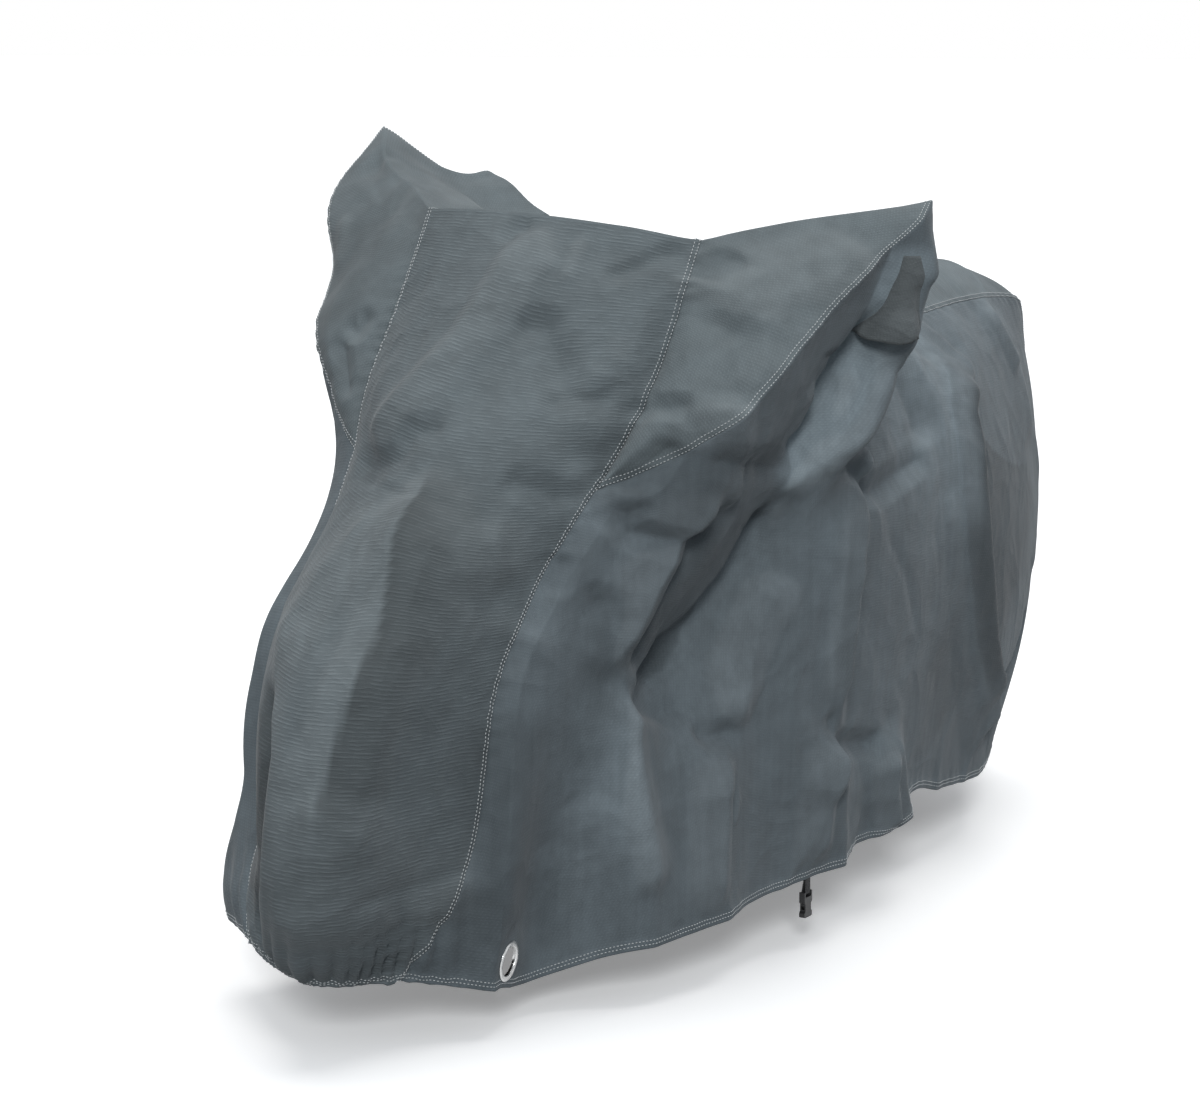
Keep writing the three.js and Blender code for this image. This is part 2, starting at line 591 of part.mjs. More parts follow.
// Face of a vent hood that looks at the panel: a flat flange along each edge, swelling to an open mouth below.
// Each point lies clear of the panel's highest place within a step of it.
function hoodSheet(panel, side) {
  const shares = [-1, -0.5, 0, 0.5, 1];
  const reach = shares.flatMap((across) => shares.map((down) => [across, down]));
  const stepZ = (HOOD.to[1] - HOOD.from[1]) / HOOD.steps;
  const rows = [];
  for (let k = 0; k <= HOOD.steps; k += 1) {
    const share = k / HOOD.steps;
    const half = THREE.MathUtils.lerp(HOOD.narrow, HOOD.broad, share);
    const middleX = THREE.MathUtils.lerp(HOOD.from[0], HOOD.to[0], share);
    const z = HOOD.from[1] + k * stepZ;
    rows.push(HOOD_ACROSS.map((across) => {
      const x = middleX + across * half;
      const { place, normal } = onSideView(panel, x, z);
      const around = reach.map(([a, b]) => onSideView(panel, x + a * half * HOOD.near, z + b * stepZ).place);
      const high = Math.max(...around.map((point) => point.sub(place).dot(normal)));
      const swell = Math.max(0, 1 - (across / HOOD.flange) ** 2) * HOOD.rise * share ** 1.3;
      return place.addScaledVector(normal, high + HOOD.lay + swell);
    }));
  }
  return gridSheet({ rows, flip: side === RIGHT });
}

// Solid of a closed geometry, for joining and cutting
function toManifold(geometry) {
  const plain = geometry.index ? geometry.toNonIndexed() : geometry.clone();
  plain.deleteAttribute('normal');
  plain.deleteAttribute('uv');
  const merged = mergeVertices(plain, 1e-4);
  return new wasm.Manifold(new wasm.Mesh({
    numProp: 3,
    vertProperties: new Float32Array(merged.attributes.position.array),
    triVerts: new Uint32Array(merged.index.array),
  }));
}

function fromManifold(solid) {
  const { vertProperties, triVerts } = solid.getMesh();
  const geometry = new THREE.BufferGeometry();
  geometry.setAttribute('position', new THREE.Float32BufferAttribute(vertProperties, 3));
  geometry.setIndex(new THREE.Uint32BufferAttribute(triVerts, 1));
  return geometry;
}

const boxAt = (width, depth, height, x, y, z) => new THREE.BoxGeometry(width, depth, height).translate(x, y, z);

// Receptacle half of the buckle, hanging from its bar: the middle of the bar is the origin, -Z down
function buckleGeometry() {
  const { width, waist, thickness, bar, slotWidth, slotHeight, height } = BUCKLE;
  const top = bar / 2;
  const bottom = top - height;
  const [shoulder, neck, hip, round] = [top - 15, top - 18, top - 28, 3];
  const outline = new THREE.Shape();
  outline.moveTo(-width / 2, top);
  outline.lineTo(-width / 2, shoulder);
  outline.lineTo(-waist / 2, neck);
  outline.lineTo(-waist / 2, hip);
  outline.lineTo(-width / 2, hip - round);
  outline.lineTo(-width / 2, bottom + round);
  outline.quadraticCurveTo(-width / 2, bottom, -width / 2 + round, bottom);
  outline.lineTo(width / 2 - round, bottom);
  outline.quadraticCurveTo(width / 2, bottom, width / 2, bottom + round);
  outline.lineTo(width / 2, hip - round);
  outline.lineTo(waist / 2, hip);
  outline.lineTo(waist / 2, neck);
  outline.lineTo(width / 2, shoulder);
  outline.lineTo(width / 2, top);
  const blank = new THREE.ExtrudeGeometry(outline, { depth: thickness, bevelEnabled: false, curveSegments: 4 });
  blank.rotateX(Math.PI / 2).translate(0, thickness / 2, 0);
  const past = 2;
  const beside = (thickness - bar) / 2 + past;
  const { width: mouthWidth, height: mouthHeight, depth } = BUCKLE_MOUTH;
  const cuts = [
    boxAt(slotWidth, thickness + 2 * past, slotHeight, 0, 0, -top - slotHeight / 2),
    boxAt(slotWidth, beside, bar + 2 * past, 0, bar / 2 + beside / 2, 0),
    boxAt(slotWidth, beside, bar + 2 * past, 0, -bar / 2 - beside / 2, 0),
    boxAt(mouthWidth, mouthHeight, depth + past, 0, 0, bottom + (depth - past) / 2),
    boxAt(width + past, mouthHeight, (neck - hip) * 0.7, 0, 0, (neck + hip) / 2),
  ];
  const solid = cuts.reduce((left, cut) => left.subtract(toManifold(cut)), toManifold(blank));
  return fromManifold(solid);
}

// Closed outline of a ribbon of even thickness along a path
function ribbonShape(path, thickness) {
  const offsets = path.map((p, k) => {
    const before = path[Math.max(k - 1, 0)];
    const after = path[Math.min(k + 1, path.length - 1)];
    const direction = after.clone().sub(before).normalize();
    return new THREE.Vector2(-direction.y, direction.x).multiplyScalar(thickness / 2);
  });
  const right = path.map((p, k) => p.clone().sub(offsets[k]));
  const left = path.map((p, k) => p.clone().add(offsets[k])).reverse();
  return new THREE.Shape([...right, ...left]);
}

// Belly strap and buckle, hanging straight down from inside the left hem
function hangStrap(panel, leaning) {
  const lean = THREE.MathUtils.degToRad(LEAN_DEG);
  const hemZ = Math.min(...panel.points.filter((p) => Math.abs(p.x - STRAP.x) < 60).map((p) => p.z)) + 6;
  const inset = CLOTH + 2 * LAY_GAP + STRAP.thickness / 2;
  const edges = [-1, -0.5, 0, 0.5, 1].map((share) => STRAP.x + (share * STRAP.width) / 2);
  const innerY = (z) => Math.max(...edges.map((x) => onSideView(panel, x, z).place.y)) + inset;
  const hang = new THREE.Group();
  hang.position.set(STRAP.x, innerY(hemZ), hemZ);
  hang.rotation.x = -lean;
  const up = (share) => {
    const z = STRAP.sewn * share;
    const y = innerY(hemZ + z) - hang.position.y;
    return new THREE.Vector2(y * Math.cos(lean) + z * Math.sin(lean), z * Math.cos(lean) - y * Math.sin(lean));
  };
  const path = [1, 0.75, 0.5, 0.25, 0].map(up);
  path.push(new THREE.Vector2(0, -STRAP.drop));
  const bends = 6;
  for (let k = 1; k <= bends; k += 1) {
    const angle = Math.PI + (Math.PI * k) / bends;
    const across = STRAP.loopRadius * (1 + Math.cos(angle));
    path.push(new THREE.Vector2(across, -STRAP.drop + STRAP.loopRadius * Math.sin(angle)));
  }
  path.push(new THREE.Vector2(STRAP.thickness + LAY_GAP + 0.6, -STRAP.drop + STRAP.foldBack));
  const shape = ribbonShape(path, STRAP.thickness);
  const webbing = new THREE.ExtrudeGeometry(shape, { depth: STRAP.width, bevelEnabled: false });
  webbing.applyMatrix4(new THREE.Matrix4().set(0, 0, 1, -STRAP.width / 2, 1, 0, 0, 0, 0, 1, 0, 0, 0, 0, 0, 1));
  hang.add(named('belly_strap', webbing, new THREE.MeshStandardMaterial({ color: 0x0d0d0e, roughness: 0.85 })));
  const buckle = named('buckle_half', buckleGeometry(), new THREE.MeshStandardMaterial({
    color: 0x0b0b0c, roughness: 0.45, metalness: 0,
  }));
  buckle.position.set(0, STRAP.loopRadius, -STRAP.drop);
  hang.add(buckle);
  leaning.add(hang);
}

const clothLook = () => new THREE.MeshStandardMaterial({ color: 0x5a676b, roughness: 0.9, metalness: 0 });
const steelLook = () => new THREE.MeshStandardMaterial({ color: 0xc9ccce, roughness: 0.22, metalness: 1 });

// A mesh with its name
function named(name, geometry, material) {
  const mesh = new THREE.Mesh(geometry, material);
  mesh.name = name;
  return mesh;
}

// Point under the crown, on the inside of the centre panel above the tank
function crownPoint(grid, normals) {
  const station = LEVEL_VALUES.length - 1 + SCREEN_VALUES.indexOf(TANK_ROW);
  const top = grid.rows[station][CENTRE_STEPS / 2];
  return top.clone().addScaledVector(normals.get(key(top)), -CLOTH);
}

// The whole cover, leaning as it stands, with its crown point at the origin
function makeCover() {
  const grids = drapedGrids();
  const sheets = new Map();
  const seats = new Map();
  const flats = [];
  grids.forEach((grid, name) => {
    const parted = name.startsWith('side_panel');
    sheets.set(name, gridSheet(grid, (i, j) => !parted || !inCorner(i, j)));
  });
  SIDES.forEach(({ word }) => {
    const seat = eyeletSeat(grids.get(`side_panel_${word}`));
    const { sheet, flatPoints } = cornerSheet(seat);
    seats.set(word, seat);
    sheets.set(`eyelet_corner_${word}`, sheet);
    flats.push(...flatPoints.map((point) => [key(point), seat.normal]));
  });
  const normals = sharedNormals([...sheets.values()]);
  flats.forEach(([name, normal]) => normals.set(name, normal));

  const leaning = new THREE.Group();
  leaning.rotation.x = THREE.MathUtils.degToRad(LEAN_DEG);
  sheets.forEach((sheet, name) => leaning.add(named(name, clothSolid(sheet, normals), clothLook())));
  SIDES.forEach(({ word, side }) => {
    const eyelet = named(`eyelet_${word}`, eyeletGeometry(), steelLook());
    const { centre, normal } = seats.get(word);
    eyelet.position.copy(centre);
    eyelet.quaternion.setFromUnitVectors(new THREE.Vector3(0, 1, 0), normal);
    leaning.add(eyelet);
    const hood = hoodSheet(sheets.get(`side_panel_${word}`), side);
    leaning.add(named(`vent_hood_${word}`, clothSolid(hood, sharedNormals([hood])), clothLook()));
  });
  hangStrap(sheets.get('side_panel_left'), leaning);

  const cover = new THREE.Group();
  const crown = crownPoint(grids.get('centre_panel'), normals).applyEuler(leaning.rotation);
  leaning.position.copy(crown).negate();
  cover.add(leaning);
  return cover;
}

export default makeCover();
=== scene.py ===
"""Dresses the fitted motorcycle cover: its panels, seams, hems, eyelets, vents, webbing and buckle.

The tables are in millimetres, with the cover standing upright, as it is cut and fitted. Every mesh is
brought to metres, leaning, with the crown at the origin, before it becomes a piece.
"""

import json
import logging
import math
from dataclasses import dataclass, field
from enum import Enum
from typing import Sequence

import bmesh
import bpy
import numpy as np
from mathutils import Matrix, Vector
from mathutils.bvhtree import BVHTree


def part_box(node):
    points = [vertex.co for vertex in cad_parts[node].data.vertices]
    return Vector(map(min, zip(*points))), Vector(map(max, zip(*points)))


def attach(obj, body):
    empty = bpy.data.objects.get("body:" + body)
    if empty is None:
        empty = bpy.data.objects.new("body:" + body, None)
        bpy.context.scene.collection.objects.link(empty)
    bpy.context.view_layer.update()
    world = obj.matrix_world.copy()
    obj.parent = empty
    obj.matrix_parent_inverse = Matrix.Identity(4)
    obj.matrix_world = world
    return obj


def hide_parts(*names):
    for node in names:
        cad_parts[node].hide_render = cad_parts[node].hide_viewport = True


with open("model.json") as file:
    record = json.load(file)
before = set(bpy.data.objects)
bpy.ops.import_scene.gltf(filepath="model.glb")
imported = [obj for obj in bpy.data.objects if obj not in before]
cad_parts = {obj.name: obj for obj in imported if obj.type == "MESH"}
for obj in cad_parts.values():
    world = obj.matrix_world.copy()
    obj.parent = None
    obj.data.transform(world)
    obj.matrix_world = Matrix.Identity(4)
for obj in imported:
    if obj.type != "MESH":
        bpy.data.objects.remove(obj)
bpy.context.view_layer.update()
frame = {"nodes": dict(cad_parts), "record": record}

LOG = logging.getLogger("cover")
MM = 0.001
THIN_EDGE = 2e-5
SAME_POINT = 1e-6

Array = np.ndarray
Span = tuple[float, float]
Triple = tuple[float, float, float]
Colour = tuple[float, float, float, float]
Path = Sequence[Span]
Piece = bpy.types.Object
Tree = bpy.types.NodeTree
Socket = bpy.types.NodeSocket


class Side(Enum):
    """Left-hand or right-hand half of the cover."""

    LEFT = -1
    RIGHT = 1

    @property
    def word(self) -> str:
        """The side's word in the names of pieces."""
        return self.name.lower()


class Face(Enum):
    """Way that a stretch of cloth looks, and the two axes that a fold's path is drawn on there."""

    LEFT = ((0, -1, 0), (0, 2))
    RIGHT = ((0, 1, 0), (0, 2))
    FRONT = ((-1, 0, 0), (1, 2))
    REAR = ((1, 0, 0), (1, 2))
    TOP = ((0, 0, 1), (0, 1))


def smooth(value: Array, low: float, high: float) -> Array:
    """Smooth step from 0 at low to 1 at high."""
    t = np.clip((value - low) / (high - low), 0.0, 1.0)
    return t * t * (3.0 - 2.0 * t)


def along(points: Array, t: Array, sharp: Sequence[int] = ()) -> Array:
    """Points on a smooth curve through the given ones, with a crease at each sharp station.

    Args:
        points: stations, with the first axis running along the curve.
        t: station parameters to work out.
        sharp: stations where the curve has a crease.

    Returns:
        One entry for each parameter.
    """
    t = np.asarray(t, float)
    last = len(points) - 1
    i = np.minimum(np.floor(t).astype(int), last - 1)
    low, high = np.zeros_like(i), np.full_like(i, last)
    for station in sharp:
        low = np.where(i >= station, np.maximum(low, station), low)
        high = np.where(i < station, np.minimum(high, station), high)
    shape = (-1,) + (1,) * (points.ndim - 1)
    b, c = points[i], points[i + 1]
    a = np.where((i > low).reshape(shape), points[np.maximum(i - 1, 0)], 2 * b - c)
    d = np.where((i + 1 < high).reshape(shape), points[np.minimum(i + 2, last)], 2 * c - b)
    f = (t - i).reshape(shape)
    return (
        a * (-0.5 * f**3 + f**2 - 0.5 * f)
        + b * (1.5 * f**3 - 2.5 * f**2 + 1.0)
        + c * (-1.5 * f**3 + 2.0 * f**2 + 0.5 * f)
        + d * (0.5 * f**3 - 0.5 * f**2)
    )


def unit(vectors: Array) -> Array:
    """Vectors at length 1, with null vectors left null."""
    length = np.linalg.norm(vectors, axis=-1, keepdims=True)
    return vectors / np.maximum(length, 1e-9)


def swaying(phase: Array, walk: Array, sway: float, stretch: float) -> Array:
    """Sine of a phase that sways to and fro with the length walked."""
    return np.sin(phase + sway * np.sin(walk / stretch))


def walked(points: Array, axis: int) -> Array:
    """Length walked along a grid's lines, from their first point."""
    steps = np.linalg.norm(np.diff(points, axis=axis), axis=-1)
    start = np.zeros_like(np.take(steps, [0], axis=axis))
    return np.concatenate([start, np.cumsum(steps, axis=axis)], axis=axis)


@dataclass(frozen=True)
class Fold:
    """A fold or crease of the hanging cloth.

    A path runs from its upper end to its lower end, or along the cloth where it lies level. Height is how
    far the crest stands out, and a trough is below zero. Low and high are the reach on each side of the path.
    Fade is the length in which it dies away at each end, round is the radius of the crest, and power is how
    hollow its flanks are. Facing is how far cloth has to look the face's way to be lifted at all, and wholly.
    """

    name: str
    face: Face
    height: float
    low: float
    high: float
    path: Path
    fade: float = 50.0
    round: float = 4.0
    power: float = 1.3
    facing: Span = (0.1, 0.45)

    def beside(self, a: Array, b: Array) -> tuple[Array, Array, Array, float]:
        """Places of points beside the path.

        Args:
            a: first coordinates on the face's axes.
            b: second coordinates on the face's axes.

        Returns:
            Distances, lengths walked along the path, whether each point is on its high side, and the
            path's length.
        """
        best = np.full(a.shape, np.inf)
        at, high = np.zeros(a.shape), np.zeros(a.shape, bool)
        length = 0.0
        for (a0, b0), (a1, b1) in zip(self.path, self.path[1:]):
            da, db = a1 - a0, b1 - b0
            step = math.hypot(da, db)
            t = np.clip(((a - a0) * da + (b - b0) * db) / step**2, 0.0, 1.0)
            distance = np.hypot(a - a0 - t * da, b - b0 - t * db)
            near = distance < best
            best = np.where(near, distance, best)
            at = np.where(near, length + t * step, at)
            high = np.where(near, da * (b - b0) - db * (a - a0) > 0, high)
            length += step
        return best, at, high, length

    def lift(self, points: Array, normals: Array) -> Array:
        """How far the fold lifts each point along its normal.

        Args:
            points: places on the cloth.
            normals: the cloth's normals there.

        Returns:
            One height for each point.
        """
        out, (first, second) = self.face.value
        reach = max(self.low, self.high)
        a, b = points[:, first], points[:, second]
        path = np.array(self.path, float)
        (a_low, b_low), (a_high, b_high) = path.min(0) - reach, path.max(0) + reach
        facing = normals @ np.array(out, float)
        near = (a > a_low) & (a < a_high) & (b > b_low) & (b < b_high) & (facing > self.facing[0])
        lift = np.zeros(len(points))
        if not near.any():
            return lift
        distance, at, high, length = self.beside(a[near], b[near])
        distance = np.sqrt(distance**2 + self.round**2) - self.round
        share = np.clip(1.0 - distance / np.where(high, self.high, self.low), 0.0, 1.0) ** self.power
        ends = smooth(at, 0.0, self.fade) * smooth(length - at, 0.0, self.fade)
        lift[near] = self.height * share * ends * smooth(facing[near], *self.facing)
        return lift


@dataclass(frozen=True)
class Crease(Fold):
    """A fold with a sharp crest."""

    fade: float = 40.0
    round: float = 2.0
    power: float = 1.1


@dataclass(frozen=True)
class Stroke(Fold):
    """A stroke of painted light: its height is the share by which the cloth's colour is made paler, and below
    zero darker as painted shade.
    """

    def paint(self, points: Array, normals: Array) -> Array:
        """Painted light and shade at each point, kept to the face's own half of the cover."""
        own_half = points @ np.array(self.face.value[0], float) > 0.0
        return self.lift(points, normals) * own_half


# Half shape, upright: a row for each section from the front seam round to the rear seam, a column for each
# level from the hem up. A point is (x, distance out from the middle plane, height above the ground).
SIDE_ROWS = (
    ((-862, 107, 105), (-775, 138, 272), (-745, 140, 483),
     (-685, 146, 596), (-640, 160, 675), (-602, 174, 737)),
    ((-755, 180, 85), (-760, 186, 272), (-735, 170, 483),
     (-668, 176, 596), (-615, 195, 685), (-582, 212, 757)),
    ((-590, 235, 102), (-590, 235, 300), (-585, 222, 500),
     (-570, 222, 630), (-560, 246, 720), (-550, 272, 799)),
    ((-420, 292, 118), (-420, 272, 310), (-430, 242, 510),
     (-448, 262, 670), (-472, 318, 790), (-488, 352, 892)),
    ((-230, 310, 130), (-235, 310, 310), (-245, 312, 520),
     (-232, 332, 740), (-205, 388, 930), (-204, 425, 1130)),
    ((-80, 314, 143), (-80, 316, 310), (-75, 312, 520),
     (-70, 300, 720), (-70, 285, 880), (-85, 285, 1035)),
    ((90, 312, 152), (80, 316, 310), (80, 310, 520),
     (75, 285, 710), (70, 235, 850), (60, 150, 955)),
    ((320, 285, 152), (330, 292, 310), (335, 288, 520),
     (335, 265, 700), (335, 220, 820), (330, 128, 885)),
    ((575, 255, 124), (640, 255, 310), (660, 242, 520),
     (660, 205, 700), (655, 158, 820), (650, 112, 890)),
    ((805, 165, 140), (880, 175, 310), (910, 165, 520),
     (908, 140, 690), (885, 112, 810), (865, 92, 878)),
    ((930, 70, 140), (990, 85, 310), (1010, 85, 500),
     (1005, 78, 680), (985, 76, 790), (950, 78, 862)),
)

# Rows of that table where the drape has an edge or a seam ends, and its topmost level
CORNER_ROW, EAR_ROW, TANK_ROW, LAST_ROW, TOP_LEVEL = 1, 4, 6, 10, 5

# Seam of the centre panel past the ear, with how far the gusset swells between it and the side panel
SCREEN_ROWS = (
    ((-575, 188, 795), 8), ((-546, 199, 855), 20), ((-495, 205, 955), 18), ((-438, 207, 1057), 2),
    ((-250, 190, 1022), 0),
)

# Middle line of the centre panel as (x, height), from the front hem to the rear hem
MIDDLE_ROWS = (
    (-950, 100), (-1012, 275), (-975, 483), (-880, 596), (-810, 675), (-752, 737), (-705, 795), (-655, 855),
    (-575, 955), (-478, 1072), (-260, 1020), (60, 985), (330, 925), (650, 948), (880, 912), (970, 870),
    (1015, 790), (1035, 680), (1040, 500), (1015, 310), (950, 145),
)

# Station of that line at the screen's upper edge, and how full the centre panel is from seam to seam
SCREEN_EDGE_STATION = 9
CROWN_POWER = 2.2

# Local pulls that make the drape uneven: a place, how far the pull reaches along each axis, and the move
PULLS = (
    ((-740, 200, 430), (320, 260, 370), (-36, 58, 0)),
    ((-810, 230, 90), (320, 260, 230), (-20, 88, 0)),
    ((-690, 190, 620), (250, 200, 200), (-12, 10, 0)),
    ((-610, 190, 770), (200, 150, 180), (-10, 16, 0)),
    ((-570, 0, 850), (260, 320, 260), (-8, 16, 0)),
    ((-400, 380, 890), (220, 180, 130), (6, -14, 0)),
    ((-360, 400, 1050), (160, 150, 140), (-20, 26, 4)),
    ((-255, 430, 1135), (160, 160, 160), (0, -10, 12)),
    ((-160, -440, 1125), (260, 260, 220), (10, -14, -9)),
    ((225, -300, 120), (130, 200, 150), (0, 0, 24)),
    ((-650, -225, 120), (112, 160, 460), (0, 55, -30)),
    ((-650, 225, 120), (112, 160, 460), (0, -40, -10)),
)

# Short names of the faces for the tables below
L, R, F, B = Face.LEFT, Face.RIGHT, Face.FRONT, Face.REAR

# Main folds of the drape
FOLDS = (
    Fold("strip_valley", L, -34, 110, 60,
         ((-228, 970), (-214, 905), (-250, 838), (-266, 780), (-280, 715)), 80),
    Fold("ear_drape", L, 44, 60, 96,
         ((-165, 1110), (-166, 960), (-150, 890), (-188, 830), (-220, 780), (-262, 715)), 110),
    Fold("wedge_valley", L, -58, 120, 110,
         ((-276, 760), (-290, 650), (-322, 580), (-370, 523), (-452, 474), (-550, 450)), 120),
    Fold("wedge_lip", L, 24, 120, 90,
         ((-420, 760), (-455, 700), (-476, 655), (-500, 594), (-530, 540), (-556, 490)), 80),
    Fold("tank_ridge", L, 34, 140, 75,
         ((-70, 780), (-116, 700), (-140, 610), (-149, 470), (-150, 340), (-156, 240)), 70),
    Fold("seat_ridge", L, 24, 120, 60,
         ((480, 840), (390, 780), (368, 700), (395, 540), (450, 390), (535, 262), (560, 190)), 50),
    Fold("tail_ridge", L, 9, 90, 70, ((681, 885), (717, 833), (789, 767), (820, 640))),
    Fold("fork_ridge", L, 20, 64, 110,
         ((-572, 500), (-572, 400), (-552, 307), (-520, 178), (-505, 40)), 80),
    Fold("front_pleat", L, 18, 120, 70, ((-366, 390), (-385, 300), (-380, 159), (-380, 40)), 60),
    Fold("middle_pleat", L, 34, 150, 90, ((-140, 340), (-100, 200), (-92, 40)), 90),
    Fold("rear_pleat", L, 30, 160, 60, ((54, 330), (100, 220), (149, 150), (163, 40)), 60),
    Fold("ear_end", L, 16, 70, 70, ((-188, 1125), (-168, 1070), (-160, 1010)), 30),
    Fold("right_ear_trough", R, -40, 90, 140, ((-300, 930), (-370, 720), (-500, 470)), 70),
    Fold("right_ear_drape", R, 26, 80, 100, ((-235, 1060), (-215, 850), (-260, 640)), 60),
    Fold("right_fork_ridge", R, 18, 90, 80, ((-590, 560), (-540, 330), (-520, 40)), 60),
    Fold("right_front_pleat", R, 16, 110, 50, ((-300, 430), (-330, 40)), 60),
    Fold("right_tank_ridge", R, 24, 120, 90, ((-30, 760), (-40, 520), (20, 40)), 60),
    Fold("right_rear_pleat", R, 22, 130, 50, ((190, 420), (210, 40)), 60),
    Fold("right_seat_ridge", R, 24, 110, 70, ((380, 830), (440, 500), (420, 40)), 60),
    Fold("right_tail_ridge", R, 16, 90, 70, ((660, 850), (740, 560), (680, 200))),
    Fold("screen_diagonal", F, 14, 90, 80, ((12, 1051), (28, 910), (60, 855), (132, 757)), 60),
    Fold("screen_crease", F, -10, 70, 75, ((-74, 985), (-74, 930), (-152, 866))),
    Fold("nose_ridge", F, 28, 100, 100,
         ((-26, 740), (-49, 636), (-72, 558), (-70, 430), (-56, 323), (-40, 200), (-12, 60)), 90),
    Fold("rear_ridge", B, 14, 70, 70, ((-25, 800), (-35, 480), (-20, 100)), 80),
)

# Paths that more than one crease or stroke of painted light and shade follows
WEDGE = ((-276, 720), (-272, 674), (-330, 600), (-352, 540), (-380, 500), (-413, 469), (-505, 444))
TANK = ((-140, 740), (-152, 700), (-165, 625), (-173, 479), (-171, 405))
SEAT = ((430, 830), (372, 815), (340, 760), (344, 655), (366, 543), (427, 395), (528, 266))
LOBE = ((120, 480), (80, 440), (56, 400), (46, 330), (46, 260), (70, 190), (110, 130))
LIP = ((-465, 735), (-495, 695), (-516, 650), (-542, 594), (-574, 537), (-596, 480))
